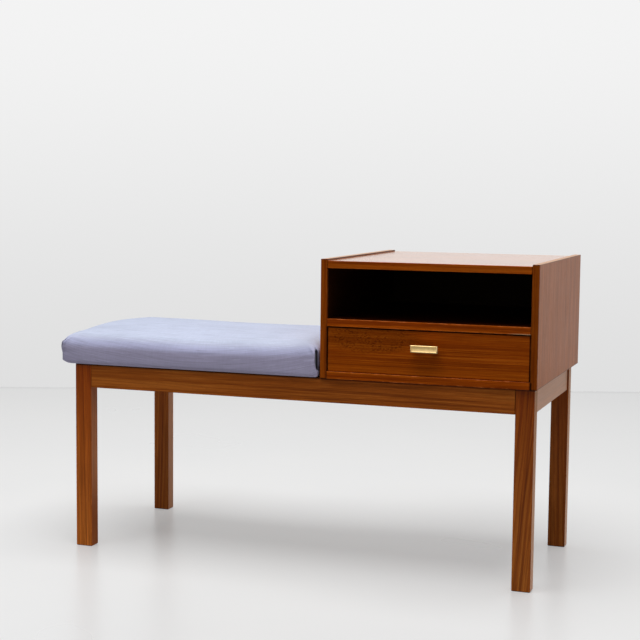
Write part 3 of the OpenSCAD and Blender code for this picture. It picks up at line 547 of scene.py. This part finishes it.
def metal(name, dark, light, roughness, scratch, darker_from=None):
    """Metal with fine brushed lines along the bench, smudges, and darker low down if asked."""
    g = Graph(name)
    lines = g.streaks(g.place, (90, 5200, 5200))
    smudge = g.noise(g.point, 160.0, 3.0, 0.6)
    colour = g.mix(g.remap(smudge, 0.3, 0.7), dark, light)
    if darker_from is not None:
        colour = g.shade(colour, g.remap(g.z, darker_from, darker_from + DARKER_RISE, 0.40, 1.0))
    dullness = g.plus(g.remap(smudge, 0.3, 0.7, roughness + 0.06, roughness - 0.06), g.times(lines, 0.06))
    g.set(Base_Color=colour, Metallic=1.0, Roughness=dullness, Normal=g.bump(lines, scratch, 0.4))
    return g.material


dress("drawer_pull", metal("pull_brass", (0.80, 0.570, 0.255), (0.90, 0.650, 0.300), 0.42, 0.000003,
                           darker_from=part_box("drawer_pull")[0].z))
steel = metal("screw_steel", (0.42, 0.42, 0.43), (0.58, 0.58, 0.59), 0.38, 0.00003)
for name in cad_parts:
    if name.endswith("screws"):
        dress(name, steel)


# Studio
# Low and high direction with the backdrop's grey at each, and front and back with the light from there
BACKDROP, AROUND = (-0.17, 0.14, 0.735, 0.900), (-0.25, 0.45, 0.07, 0.42)


def studio_world():
    """A pale backdrop for the camera and for gloss, and more light from behind the bench than before it."""
    scene.world = bpy.data.worlds.new("studio")
    g = Tree(scene.world)
    direction = g.split(g.coords["Generated"])
    seen, around = (g.node("ShaderNodeBackground") for _ in range(2))
    g.put(seen.inputs["Color"], g.remap(direction[2], *BACKDROP))
    g.put(around.inputs["Color"], g.remap(direction[1], *AROUND))
    rays = g.node("ShaderNodeLightPath").outputs
    shown = g.math("MAXIMUM", rays["Is Camera Ray"], rays["Is Glossy Ray"])
    shown = g.math("MAXIMUM", shown, rays["Is Transmission Ray"])
    both = g.layer(shown, around.outputs[0], seen.outputs[0])
    g.put(g.node("ShaderNodeOutputWorld").inputs["Surface"], both)


def lamp(name, at, aim, size, watts):
    """A square area lamp at a place, turned towards its aim."""
    data = bpy.data.lights.new(name, "AREA")
    data.shape, data.size, data.size_y = "RECTANGLE", size, size
    data.energy = watts
    made = placed(name, data)
    made.location = at
    made.rotation_mode = "QUATERNION"
    made.rotation_quaternion = (Vector(aim) - Vector(at)).to_track_quat("-Z", "Y")


def new_mesh(name, points, faces):
    mesh = bpy.data.meshes.new(name)
    mesh.from_pydata([tuple(p) for p in points], [], faces)
    mesh.update()
    return placed(name, mesh)


# Floor: way from the camera's foot to its far edge, that edge's turn in degrees, size, steps, how much closer
# they lie at that edge, and the width of the dark line there
EDGE_AT, EDGE_TURN, FLOOR_SIZE, FLOOR_STEPS, FLOOR_CLOSER, JOINT_W = 4.815, -1.0, 8, 24, 1.5, 0.06
PAINT_DARK, PAINT_LIGHT, PAINT_JOINT = (0.735, 0.74, 0.74), (0.77, 0.77, 0.765), (0.30, 0.30, 0.30)
# What the paint throws back at the bench, and its own white away from the dark line and in it
PAINT_THROWS, OWN_WHITE, OWN_JOINT = ([grey] * 3 for grey in (0.40, 0.80, 0.60))
OWN_SHARE = 0.36


def floor_paint(middle, out):
    """Glossy pale paint with faint clouds, dark along its far edge."""
    g = Graph("floor_paint")
    inward = g.minus(middle.x * out.x + middle.y * out.y,
                     g.plus(g.times(g.x, out.x), g.times(g.y, out.y)))
    joint = g.remap(inward, 0.0, JOINT_W, 1.0, 0.0)
    cloud = g.noise(g.point, 1.6, 3.0, 0.5)
    speckle = g.noise(g.point, 240.0, 2.0, 0.6)
    base = g.mix(g.remap(cloud, 0.3, 0.7), PAINT_DARK, PAINT_LIGHT)
    base = g.mix(g.times(joint, 0.35), base, PAINT_JOINT)
    camera_ray = g.node("ShaderNodeLightPath").outputs["Is Camera Ray"]
    # It throws less light back at the bench than it shows the camera
    g.set(Base_Color=g.mix(camera_ray, PAINT_THROWS, base), Roughness=g.remap(cloud, 0.3, 0.7, 0.27, 0.32),
          Specular_IOR_Level=0.5, Normal=g.bump(speckle, 0.0002, 0.15))
    # The camera sees part of the paint at its own white, so that the shadow stays soft and pale
    own = g.node("ShaderNodeEmission")
    g.put(own.inputs["Color"], g.mix(g.times(joint, 0.12), OWN_WHITE, OWN_JOINT))
    g.put(g.surface, g.layer(g.times(camera_ray, OWN_SHARE), g.shader.outputs[0], own.outputs[0]))
    return g.material


def floor():
    """Level floor, with its steps closer together at its far edge."""
    flat = Vector((forward.x, forward.y, 0)).normalized()
    along = Vector((flat.y, -flat.x, 0))
    turn = math.radians(EDGE_TURN)
    line = (along * math.cos(turn) - flat * math.sin(turn)).normalized()
    out = Vector((-line.y, line.x, 0))
    middle = Vector((CAMERA_AT.x, CAMERA_AT.y, 0)) + flat * EDGE_AT
    row = FLOOR_STEPS + 1
    ways = [FLOOR_SIZE * (i / FLOOR_STEPS - 0.5) for i in range(row)]
    depths = [FLOOR_SIZE * (j / FLOOR_STEPS) ** FLOOR_CLOSER for j in range(row)]
    points = [middle + line * way - out * depth for depth in depths for way in ways]
    corners = [j * row + i for j in range(FLOOR_STEPS) for i in range(FLOOR_STEPS)]
    made = new_mesh("floor", points, [(k, k + row, k + row + 1, k + 1) for k in corners])
    made.data.materials.append(floor_paint(middle, out))


studio_world()
lamp("overhead", (0.0, -0.40, 3.6), (0.0, 0.0, 0.4), 3.0, 143)
floor()

# Seat pad
PAD_LOW, PAD_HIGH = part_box("seat_cushion")
BOARD_LOW, BOARD_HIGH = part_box("seat_board")
FOOT_Z = PAD_LOW.z
# Edge height over the foot: in the middle, its change along the pad, and how far the ends stand over it
PAD_EDGE = (0.0566, -0.0028, 0.0120)
# Corners that lie lower than the edges beside them: side along x, side along y, how far
PAD_DIPS, PAD_DIP_REACH = ((-1, -1, 0.0098), (-1, 1, 0.0075)), 0.109
# Height of the crown, how steeply it falls along and across, and how far in and up the edge's roll goes
PAD_CROWN, CROWN_ALONG, CROWN_ACROSS, PAD_ROLL_IN, PAD_ROLL_UP = 0.0105, 2.4, 2, 0.034, 0.031
# Corner's radius at the foot, how much it grows per length inwards, and the radius of the rounded foot
PAD_CORNER, PAD_ROUNDER, PAD_FOOT = 0.008, 0.50, 0.007
# How far cloth pressure moves the cover at most, and how much of that the finished pad keeps
PAD_SWELL, PAD_SWELL_KEPT = 0.009, 0.0030
# Foam at the free end: how far it stands out, and the spans along the pad and up it where that sets in
PAD_END_OUT, END_ALONG, END_UP = 0.0020, (0.045, 0.006), (-0.001, 0.003)
# Width of the hem under the board, how far its edge wanders, and the cloth's clearance to the board
HEM_W, HEM_WANDER, BOARD_GAP, HEM_GAP = 0.030, 0.0012, 0.0002, 0.0001
WALLS, ROLLS, CROWNS, FEET, CORNER_STEPS = 20, 18, 20, 6, 26
# Places along a side: distance at its ends and in its middle, and how far in from its ends it widens
SIDE_NEAR, SIDE_FAR, SIDE_REACH = 0.0012, 0.0075, 0.05
pad_mid = Vector(((PAD_LOW.x + PAD_HIGH.x) / 2, (PAD_LOW.y + PAD_HIGH.y) / 2))
pad_half = Vector(((PAD_HIGH.x - PAD_LOW.x) / 2, (PAD_HIGH.y - PAD_LOW.y) / 2))


def graded(length):
    """Places from 0 to length, close together near both ends and wide apart between."""
    half, places = length / 2, [0.0]
    while places[-1] < half:
        share = min(1.0, places[-1] / SIDE_REACH)
        places.append(places[-1] + SIDE_NEAR + (SIDE_FAR - SIDE_NEAR) * share ** 1.5)
    scale = half / places[-1]
    first = [p * scale for p in places]
    return first + [length - p for p in first[-2::-1]]


def side_run(turn):
    """Length of a side's straight part."""
    return 2 * ((pad_half.y if turn % 2 == 0 else pad_half.x) - PAD_CORNER)


def pad_outline():
    """Rows of outward x and y, degrees round the corner or -1 on a side, corner, and way along the side."""
    rows = []
    for turn in range(4):
        c, s = math.cos(turn * math.pi / 2), math.sin(turn * math.pi / 2)
        run = side_run(turn)
        side = [(1.0, 0.0, -1.0, 2 * p / run - 1) for p in graded(run)[:-1]]
        arc = []
        for i in range(CORNER_STEPS):
            t = i / CORNER_STEPS
            # Closer together halfway round, where the pleat is
            angle = math.pi / 2 * (t + 0.5 * math.sin(2 * math.pi * t) / (2 * math.pi))
            arc.append((math.cos(angle), math.sin(angle), math.degrees(angle), 1.0))
        rows += [(nx * c - ny * s, nx * s + ny * c, angle, turn, way) for nx, ny, angle, way in side + arc]
    return np.array(rows)


outline = pad_outline()


def outline_at(inward):
    """The pad's outline drawn in by a length, with corners that grow rounder inwards."""
    radius = PAD_CORNER + PAD_ROUNDER * max(0.0, inward)
    nx, ny, angle, turn, way = outline.T
    cos, sin = np.cos(turn * math.pi / 2), np.sin(turn * math.pi / 2)
    a = np.where(turn % 2 == 0, pad_half.x, pad_half.y) - inward
    b = np.where(turn % 2 == 0, pad_half.y, pad_half.x) - inward
    on_arc = angle >= 0
    # The outward direction turned back to the first quarter
    first_x, first_y = nx * cos + ny * sin, -nx * sin + ny * cos
    x = np.where(on_arc, a - radius + radius * first_x, a)
    y = np.where(on_arc, b - radius + radius * first_y, way * (b - radius))
    return x * cos - y * sin, x * sin + y * cos


def edge_height(x, y):
    """Height of the pad's upper edge at a place given from its middle, before the crown."""
    u = x / pad_half.x
    height = FOOT_Z + PAD_EDGE[0] + PAD_EDGE[1] * u + PAD_EDGE[2] * u * u
    for side_x, side_y, dip in PAD_DIPS:
        away = np.hypot(x - side_x * pad_half.x, y - side_y * pad_half.y)
        height = height - dip * np.exp(-(away / PAD_DIP_REACH) ** 2)
    return height


def crown(x, y):
    """How far the pad's middle stands over its edges at a place given from its middle."""
    u, v = np.abs(x) / (pad_half.x - PAD_ROLL_IN), np.abs(y) / (pad_half.y - PAD_ROLL_IN)
    return PAD_CROWN * np.clip(1 - u ** CROWN_ALONG, 0, 1) * np.clip(1 - v ** CROWN_ACROSS, 0, 1)


def pad_rings(shrink=0.0, walls=WALLS, rolls=ROLLS, crowns=CROWNS):
    """Rings of points from the foot to the crown. shrink draws the whole form in."""
    def ring(inward, drop=None, up=None):
        x, y = outline_at(inward + shrink)
        z = np.full(len(x), FOOT_Z + up) if drop is None else edge_height(x, y) - shrink - drop
        return np.stack([x, y, z], 1)

    rings = []
    for i in range(FEET):
        a = math.pi / 2 * (1 - i / FEET)
        rings.append(ring(PAD_FOOT * (1 - math.cos(a)), up=PAD_FOOT * (1 - math.sin(a))))
    low, high = ring(0, up=PAD_FOOT), ring(0, drop=PAD_ROLL_UP)
    rings += [low + (high - low) * (i / walls) for i in range(walls)]
    for i in range(rolls + 1):
        a = math.pi / 2 * i / rolls
        rings.append(ring(PAD_ROLL_IN * (1 - math.cos(a)), drop=PAD_ROLL_UP * (1 - math.sin(a))))
    edge = rings[-1]
    for i in range(1, crowns):
        t = 1 - i / crowns
        x, y = edge[:, 0] * t, edge[:, 1] * t
        rings.append(np.stack([x, y, edge_height(x, y) - shrink + crown(x, y)], 1))
    return np.array(rings)


def lofted(rings, low_cap, high_cap):
    """Vertices and faces of rings joined in order, closed by a fan at each end, about the pad's middle."""
    count, n = rings.shape[:2]
    points = [tuple(q) for ring in rings for q in ring] + [low_cap, high_cap]
    faces = [(r * n + i, r * n + (i + 1) % n, (r + 1) * n + (i + 1) % n, (r + 1) * n + i)
             for r in range(count - 1) for i in range(n)]
    low, high = count * n, count * n + 1
    faces += [(low, (i + 1) % n, i) for i in range(n)]
    faces += [(high, (count - 1) * n + i, (count - 1) * n + (i + 1) % n) for i in range(n)]
    return points, faces


# Pressure in the cover: its start inside the pad, mesh size, frames, rings and cloth
SWELL_INSET, SWELL_MESH, SWELL_FRAMES = 0.004, 0.0055, 20
SWELL_RINGS = dict(walls=10, rolls=8, crowns=14)
SWELL_CLOTH = dict(use_pressure=True, uniform_pressure_force=4.0, vertex_group_mass="held",
                   tension_stiffness=15, compression_stiffness=15, bending_stiffness=0.6)
# Where rays to the swollen cover start, inside the pad, and how far they go
RAY_FROM, RAY_LENGTH = 0.02, 0.06
# Where the swell sets in, by height over the foot and by way from a corner
SWELL_UP, SWELL_OFF_CORNER = (0.0, 0.025), (0.012, 0.060)


def swollen_tree():
    """The pad after cloth pressure has filled its cover, as a tree to cast rays on."""
    top = float(edge_height(0, 0)) - SWELL_INSET + PAD_CROWN
    rings = pad_rings(SWELL_INSET, **SWELL_RINGS)
    made = new_mesh("pad_form", *lofted(rings, (0, 0, FOOT_Z), (0, 0, top)))
    remesh = made.modifiers.new("remesh", "REMESH")
    remesh.mode, remesh.voxel_size = "VOXEL", SWELL_MESH
    mesh = bpy.data.meshes.new_from_object(made.evaluated_get(bpy.context.evaluated_depsgraph_get()))
    made.modifiers.clear()
    made.data = mesh
    held = made.vertex_groups.new(name="held")
    held.add([v.index for v in mesh.vertices if v.co.z < FOOT_Z + PAD_FOOT], 1.0, "REPLACE")
    rest = np.array([v.co for v in mesh.vertices])
    cloth = made.modifiers.new("cloth", "CLOTH")
    for key, value in SWELL_CLOTH.items():
        setattr(cloth.settings, key, value)
    cloth.settings.effector_weights.gravity = 0.0
    cloth.point_cache.frame_start, cloth.point_cache.frame_end = 1, SWELL_FRAMES
    for number in range(1, SWELL_FRAMES + 1):
        scene.frame_set(number)
    done = made.evaluated_get(bpy.context.evaluated_depsgraph_get())
    move = np.array([v.co for v in done.data.vertices]) - rest
    scene.frame_set(1)
    # The whole move is scaled down to what the foam allows, so it stays smooth
    farthest = float(np.linalg.norm(move, axis=1).max())
    after = rest + move * min(1.0, PAD_SWELL / farthest)
    tree = BVHTree.FromPolygons([Vector(q) for q in after], [tuple(f.vertices) for f in mesh.polygons])
    bpy.data.objects.remove(made)
    return tree


def ring_normals(rings):
    """Outward normal at each point of the rings."""
    along = np.roll(rings, -1, axis=1) - np.roll(rings, 1, axis=1)
    normal = np.cross(along, np.gradient(rings, axis=0))
    return normal / np.maximum(np.linalg.norm(normal, axis=2, keepdims=True), 1e-12)


def smoothed(field, rounds):
    """Values on the rings, each drawn towards its neighbours a number of times."""
    for _ in range(rounds):
        up_down = (np.vstack([field[:1], field[:-1]]) + np.vstack([field[1:], field[-1:]])) / 2
        around = (np.roll(field, 1, axis=1) + np.roll(field, -1, axis=1)) / 2
        field = field * 0.5 + up_down * 0.25 + around * 0.25
    return field


def hill(x, middle, width):
    return np.exp(-((x - middle) / width) ** 2)


def step(x, a, b):
    """0 up to a, 1 from b, and a smooth rise between."""
    t = np.clip((x - a) / (b - a), 0, 1)
    return t * t * (3 - 2 * t)


def cover_swell(rings, normals):
    swell = np.zeros(rings.shape[:2])
    tree = swollen_tree()
    for r in range(rings.shape[0]):
        for i in range(rings.shape[1]):
            start = Vector(rings[r, i] - normals[r, i] * RAY_FROM)
            hit = tree.ray_cast(start, Vector(normals[r, i]), RAY_LENGTH)[0]
            swell[r, i] = (hit - start).length - RAY_FROM if hit else np.nan
    missed = np.isnan(swell)
    swell[missed] = 0 if missed.all() else np.nanmedian(swell)
    swell = smoothed(swell - np.median(swell), 6)
    swell = swell * min(1.0, PAD_SWELL_KEPT / float(np.abs(swell).max()))
    # The corners keep the form that their pleats give them, and the foot stays where it is held
    from_corner = np.hypot(pad_half.x - np.abs(rings[..., 0]), pad_half.y - np.abs(rings[..., 1]))
    return swell * step(rings[..., 2] - FOOT_Z, *SWELL_UP) * step(from_corner, *SWELL_OFF_CORNER)


REAR_RIGHT, REAR_LEFT, FRONT_LEFT, FRONT_RIGHT = range(4)
# Pleats: corner, way round it from where its arc begins, half width, depth, lower and upper end of the slit
# over the foot, which way the front lies, and how plain the seam under the slit is
PLEATS = ((FRONT_RIGHT, 0.0056, 0.0041, 0.0085, 0.011, 0.051, -1, 1.0),
          (FRONT_LEFT, 0.0060, 0.0038, 0.0060, 0.024, 0.0465, 1, 0.25),
          (REAR_RIGHT, 0.0063, 0.0020, 0.0040, 0.014, 0.038, 1, 0.7),
          (REAR_LEFT, 0.0063, 0.0020, 0.0040, 0.014, 0.036, -1, 0.7))
# Seam under a slit: half width and depth. How far the cloth stands out beside it
SEAM_HALF, SEAM_DEPTH, LIP_OUT = 0.0008, 0.0012, 0.0013
# Beyond the front right fold: how far the cloth lies under it, and how far round the corner its shade goes
UNDER_FOLD, SHADE_ROUND = 0.0028, 0.05
# At the front left slit: how far the cloth is drawn in under it, and stands out at its upper end
DRAWN_IN, STANDS_OUT = 0.0030, 0.0012
# Creases near a front corner: 1 at the right or -1 at the left, start and end as way along the front and
# height over the foot, half width and height
CREASES = (
    (1, 0.003, 0.046, 0.014, 0.040, 0.0020, 0.0014), (1, 0.004, 0.036, 0.034, 0.032, 0.0030, -0.0010),
    (1, 0.006, 0.041, 0.022, 0.045, 0.0020, -0.0008), (-1, 0.003, 0.042, 0.016, 0.0505, 0.0030, -0.0022),
    (-1, 0.001, 0.0300, 0.015, 0.0312, 0.0014, 0.0018), (-1, 0.003, 0.037, 0.018, 0.040, 0.0026, 0.0009),
    (-1, 0.003, 0.025, 0.030, 0.020, 0.0035, -0.0008))
# Creases deeper than this are shaded, by this share
SHADED_DEPTH, CREASE_SHADE = 0.0015, 0.14


def way_round(corner):
    """Way along the outline from where a corner's arc begins, below 0 before it, and 1 m elsewhere."""
    angle, turn, way = outline.T[2:]
    here, straight = turn == corner, angle < 0
    round_it = np.where(here & straight, -(1 - way) / 2 * side_run(corner), 1.0)
    round_it = np.where(here & ~straight, np.radians(angle) * PAD_CORNER, round_it)
    following = PAD_CORNER * math.pi / 2 + (way + 1) / 2 * side_run(corner + 1)
    return np.where((turn == (corner + 1) % 4) & straight, following, round_it)


def under_fold(over, round_it, ahead):
    """Lift and shade where the cloth beyond the front right fold lies under it, beside the cabinet."""
    near = round_it < SHADE_ROUND
    beyond = step(-ahead, 0.0, 0.0014) * near * (1 - step(over, 0.018, 0.030))
    far = step(-ahead, 0.0010, 0.0030) * near * (1 - step(over, 0.040, 0.054))
    return -UNDER_FOLD * far * (1 - step(-ahead, 0.010, 0.020)), np.maximum(0.90 * beyond, 0.62 * far)


def drawn_in(over, ahead):
    """Lift where the cloth is drawn in under the front left slit and stands out at its upper end."""
    near = step(ahead, -0.05, -0.02) * (1 - step(ahead, 0.002, 0.012))
    return near * (STANDS_OUT * hill(over, 0.040, 0.006) - DRAWN_IN * (1 - step(over, 0.018, 0.034)))


def pleated(over, corner, middle, width, depth, low, high, front, plain):
    """How far one pleat lifts the cover, how far it pushes it in, and how dark its painted shade is."""
    round_it = np.broadcast_to(way_round(corner), over.shape)
    # Way towards the front from the pleat
    ahead = (round_it - middle) * front
    share = np.clip((over - low) / (high - low), 0, 1)
    # The slit is a lens, widest halfway up
    half_width = width * (0.12 + 0.88 * np.sin(math.pi * share) ** 0.8)
    slit = step(np.sin(math.pi * share), 0.0, 0.35) * np.exp(-np.abs(ahead / half_width) ** 3)
    seam = step(over, 0.0, 0.006) * (1 - step(over, high, high + 0.006)) * hill(ahead, 0, SEAM_HALF)
    lip = step(over, 0.002, 0.012) * (1 - step(over, high - 0.004, high + 0.006))
    lip = lip * hill(ahead, 1.6 * width, 0.7 * width)
    lift = -SEAM_DEPTH * plain * seam + LIP_OUT * lip
    shade = np.maximum(0.98 * slit ** 0.5, 0.45 * plain * seam)
    if corner == FRONT_RIGHT:
        lower, shaded = under_fold(over, round_it, ahead)
        lift, shade = lift + lower, np.maximum(shade, shaded)
    if corner == FRONT_LEFT:
        lift = lift + drawn_in(over, ahead)
    return lift, depth * slit, shade


def creased(x, y, over, side, s0, z0, s1, z1, width, height):
    """How far one crease lifts the cover, and how dark its painted shade is."""
    along = pad_half.x - side * x
    t = ((along - s0) * (s1 - s0) + (over - z0) * (z1 - z0)) / math.hypot(s1 - s0, z1 - z0) ** 2
    off = np.hypot(along - s0 - t * (s1 - s0), over - z0 - t * (z1 - z0))
    taper = step(t, -0.1, 0.15) * (1 - step(t, 0.4, 1.1))
    # Only on the front, and fading out up the roll
    taper = taper * (side * x > 0) * (1 - step(y + pad_half.y, 0.3 * PAD_ROLL_IN, 0.9 * PAD_ROLL_IN))
    crease = np.exp(-(off / width) ** 2) * taper
    return height * crease, crease * (CREASE_SHADE if height < -SHADED_DEPTH else 0.0)


def pad_details(rings):
    """How far the cover moves along its normal, how far it is pushed level, and how dark its painted shade
    is.
    """
    x, y, over = rings[..., 0], rings[..., 1], rings[..., 2] - FOOT_Z
    move, dark, push = np.zeros(x.shape), np.zeros(x.shape), np.zeros(rings.shape)
    free_end = step(-x, *(pad_half.x - way for way in END_ALONG))
    push[..., 0] -= PAD_END_OUT * free_end * step(over, *END_UP)
    for pleat in PLEATS:
        lift, inward, shade = pleated(over, *pleat)
        facing = pleat[0] * math.pi / 2 + pleat[1] / PAD_CORNER
        move += lift
        push[..., 0] -= inward * math.cos(facing)
        push[..., 1] -= inward * math.sin(facing)
        dark = np.maximum(dark, shade)
    for crease in CREASES:
        lift, shade = creased(x, y, over, *crease)
        move += lift
        dark = np.maximum(dark, shade)
    return move, push, dark


def underside(foot):
    """Rings under the pad: the hollow that the board fills, then the hem under it with its inner edge."""
    def square(low, high, z):
        # A point of the outline goes to the nearest place on the rectangle
        return np.stack([np.clip(foot[:, 0], low.x, high.x), np.clip(foot[:, 1], low.y, high.y),
                         np.full(len(foot), z)], 1)

    def hem_edge(z):
        ring = square(Vector((BOARD_LOW.x + HEM_W, BOARD_LOW.y + HEM_W)),
                      Vector((BOARD_HIGH.x - HEM_W, BOARD_HIGH.y - HEM_W)), z)
        s = np.arange(len(ring))
        ring[:, 0] += HEM_WANDER * np.sin(s * 0.21) * np.abs(outline[:, 0])
        ring[:, 1] += HEM_WANDER * np.sin(s * 0.17 + 1) * np.abs(outline[:, 1])
        return ring

    grow = Vector((BOARD_GAP, BOARD_GAP))
    low, high = Vector(BOARD_LOW[:2]), Vector(BOARD_HIGH[:2])
    return np.array([square(low - grow, high + grow, BOARD_HIGH.z + BOARD_GAP),
                     square(low - grow, high + grow, BOARD_LOW.z - HEM_GAP),
                     hem_edge(BOARD_LOW.z - HEM_GAP), hem_edge(FOOT_Z), square(low, high, FOOT_Z)])


def flat_places(whole, below):
    """Each point's place on the flat cloth, and as a third number how far it faces up."""
    drop = np.zeros(whole.shape[:2])
    lengths = np.linalg.norm(np.diff(whole, axis=0), axis=2)
    first_crown = below + FEET + WALLS + ROLLS
    drop[:first_crown] = np.cumsum(lengths[:first_crown][::-1], axis=0)[::-1]
    flat = np.empty(whole.shape)
    for i in range(2):
        flat[..., i] = np.where(drop > 0, whole[first_crown, :, i] + outline[:, i] * drop, whole[..., i])
    rolled = np.sin(math.pi / 2 * np.arange(ROLLS + 1) / ROLLS) ** 2
    upward = np.concatenate([np.zeros(below + FEET + WALLS), rolled, np.ones(CROWNS - 1)])
    flat[..., 2] = upward[:, None]
    return np.vstack([flat.reshape(-1, 3), [[pad_mid.x, pad_mid.y, 0], [pad_mid.x, pad_mid.y, 1]]])


def pad_object():
    """The pad's cloth and its hem, with each point's place on the flat cloth and the painted shade of its
    folds.
    """
    rings = pad_rings()
    normals = ring_normals(rings)
    detail, push, dark = pad_details(rings)
    move = cover_swell(rings, normals) + detail
    rings = rings + normals * move[..., None] + push + (pad_mid.x, pad_mid.y, 0)
    rings[0, :, 2] = FOOT_Z + 2 * BOARD_GAP
    under = underside(rings[0])
    whole = np.concatenate([under, rings])
    top = float(edge_height(0, 0)) + PAD_CROWN + float(move[-1].mean())
    made = new_mesh("seat_pad", *lofted(whole, (pad_mid.x, pad_mid.y, BOARD_HIGH.z + BOARD_GAP),
                                        (pad_mid.x, pad_mid.y, top)))
    made.data.polygons.foreach_set("use_smooth", [True] * len(made.data.polygons))
    fold = np.append(np.zeros((len(under), rings.shape[1])), dark)
    for name, kind, key, values in (("cloth", "FLOAT_VECTOR", "vector", flat_places(whole, len(under))),
                                    ("fold", "FLOAT", "value", np.append(fold, [0, 0]))):
        given = made.data.attributes.new(name, kind, "POINT")
        given.data.foreach_set(key, values.astype(np.float32).ravel())
    return made


# Cloth: width of a yarn, colours of its dark and light slubs, thick and thin threads, and the painted shade
# in folds
YARN_W = 0.0011
LILAC_DARK, LILAC_LIGHT = (0.445, 0.415, 0.590), (0.560, 0.525, 0.735)
THICK_THREAD, THIN_THREAD, FOLD_SHADE = (0.72, 0.71, 0.88), (0.30, 0.28, 0.42), (0.030, 0.020, 0.028)
# Tints of the painted sheen on the bend over the side and of the painted light on what faces up, and the
# side's painted shade before its right end and its lighter tone at that end
BEND_SHEEN_TINT, TOP_LIGHT_TINT = (0.98, 1.05, 1.08), (1.00, 1.15, 1.03)
RIGHT_END_W, SIDE_SHADE_TONE, RIGHT_END_TONE = 0.22, 0.925, 1.06
SHEEN_TINT = (0.75, 0.95, 1.0, 1.0)


def lilac_cloth():
    """Plain weave with slubs along the bench, clouds of tone and a fine nap, with painted light on what faces
    up and on the bend, and painted shade on the sides and in the folds.
    """
    g = Graph("lilac_weave")
    u, v, upward = g.split(g.attribute("cloth", "Vector"))
    weft, warp = (g.math("SINE", g.times(place, 2 * math.pi / YARN_W)) for place in (v, u))
    slub = g.streaks((u, v, 0.0), (14, 520, 1), 3.0, 0.6)
    thick = g.streaks((u, v, 3.1), (38, 300, 1), 1.0)
    thin = g.streaks((u, v, 8.4), (30, 340, 1), 1.0)
    cross = g.streaks((u, v, 7.3), (420, 60, 1))
    cloud = g.streaks((u, v, 1.3), (7, 13, 1))
    colour = g.mix(g.remap(slub, 0.32, 0.68), LILAC_DARK, LILAC_LIGHT)
    colour = g.mix(g.times(g.remap(thick, 0.66, 0.76), 0.32), colour, THICK_THREAD)
    colour = g.mix(g.times(g.remap(thin, 0.66, 0.76), 0.40), colour, THIN_THREAD)
    colour = g.shade(colour, g.remap(cross, 0.3, 0.7, 0.97, 1.02))
    colour = g.shade(colour, g.remap(cloud, 0.3, 0.7, 0.96, 1.03))
    # Painted sheen where the cloth bends over the side
    bend_sheen = g.times(g.remap(upward, 0.00, 0.10), g.remap(upward, 0.70, 0.25))
    colour = g.mix(g.times(bend_sheen, 0.9), colour, g.tint(colour, BEND_SHEEN_TINT))
    # Painted shade on the sides, which turns lighter towards the right end
    side_shade_tone = g.remap(u, PAD_HIGH.x - RIGHT_END_W, PAD_HIGH.x, SIDE_SHADE_TONE, RIGHT_END_TONE)
    colour = g.shade(colour, g.remap(upward, 0.02, 0.20, side_shade_tone, 1.0))
    # Painted light: what faces up is tinted lighter and colder
    colour = g.mix(g.remap(upward, 0.05, 0.85), colour, g.tint(colour, TOP_LIGHT_TINT))
    # Painted shade in the slits, creases and folds
    colour = g.mix(g.attribute("fold", "Fac"), colour, FOLD_SHADE)
    height = g.plus(g.times(g.times(weft, warp), 0.12), g.plus(g.times(slub, 1.0), g.times(thick, 0.5)))
    g.set(Base_Color=colour, Roughness=g.remap(slub, 0.3, 0.7, 0.90, 0.80), Specular_IOR_Level=0.2,
          Sheen_Weight=0.25, Sheen_Roughness=0.45, Sheen_Tint=SHEEN_TINT, Normal=g.bump(height, 0.0004, 0.5))
    return g.material


pad = pad_object()
pad.data.materials.append(lilac_cloth())
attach(pad, "bench")
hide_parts("seat_cushion")

# Staples: width, wire, steps along the bench and across it, and how far they stray in degrees and metres
STAPLE_W, STAPLE_WIRE, STEP_ALONG, STEP_ACROSS, STRAY_ANGLE, STRAY = 0.010, 0.0007, 0.032, 0.033, 9, 0.0015
# How far their rows lie in from the board's front, rear and left edges
FRONT_ROW, REAR_ROW, LEFT_ROW = 0.0225, 0.0175, 0.0115
# How far a row keeps from the corner block and the cross rail, and the left row from the board's edges
ROW_START, ROW_END, LEFT_START, LEFT_END = 0.010, 0.008, 0.030, 0.015


def staples():
    """Wire staples that hold the hem to the board, where the frame leaves it open from below."""
    from_x, to_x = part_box("corner_block_front_left")[1].x + ROW_START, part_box("cross_rail")[0].x - ROW_END
    places = [(x, y, 0.0) for y in (BOARD_LOW.y + FRONT_ROW, BOARD_HIGH.y - REAR_ROW)
              for x in np.arange(from_x, to_x, STEP_ALONG)]
    places += [(BOARD_LOW.x + LEFT_ROW, y, 90.0)
               for y in np.arange(BOARD_LOW.y + LEFT_START, BOARD_HIGH.y - LEFT_END, STEP_ACROSS)]
    bm = bmesh.new()
    for i, (x, y, angle) in enumerate(places):
        lean = Matrix.Rotation(math.radians(angle + STRAY_ANGLE * math.sin(i * 2.4)), 4, "Z")
        place = Matrix.Translation((x, y + STRAY * math.sin(i * 1.9), FOOT_Z - STAPLE_WIRE / 2))
        size = Matrix.Diagonal((STAPLE_W, STAPLE_WIRE, STAPLE_WIRE, 1))
        made = bmesh.ops.create_cube(bm, size=1.0, matrix=place @ lean @ size)
        edges = list({e for v in made["verts"] for e in v.link_edges})
        bmesh.ops.bevel(bm, geom=edges, offset=STAPLE_WIRE * 0.22, segments=2, affect="EDGES")
    mesh = bpy.data.meshes.new("seat_staples")
    bm.to_mesh(mesh)
    bm.free()
    made = placed("seat_staples", mesh)
    made.data.materials.append(steel)
    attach(made, "bench")


staples()
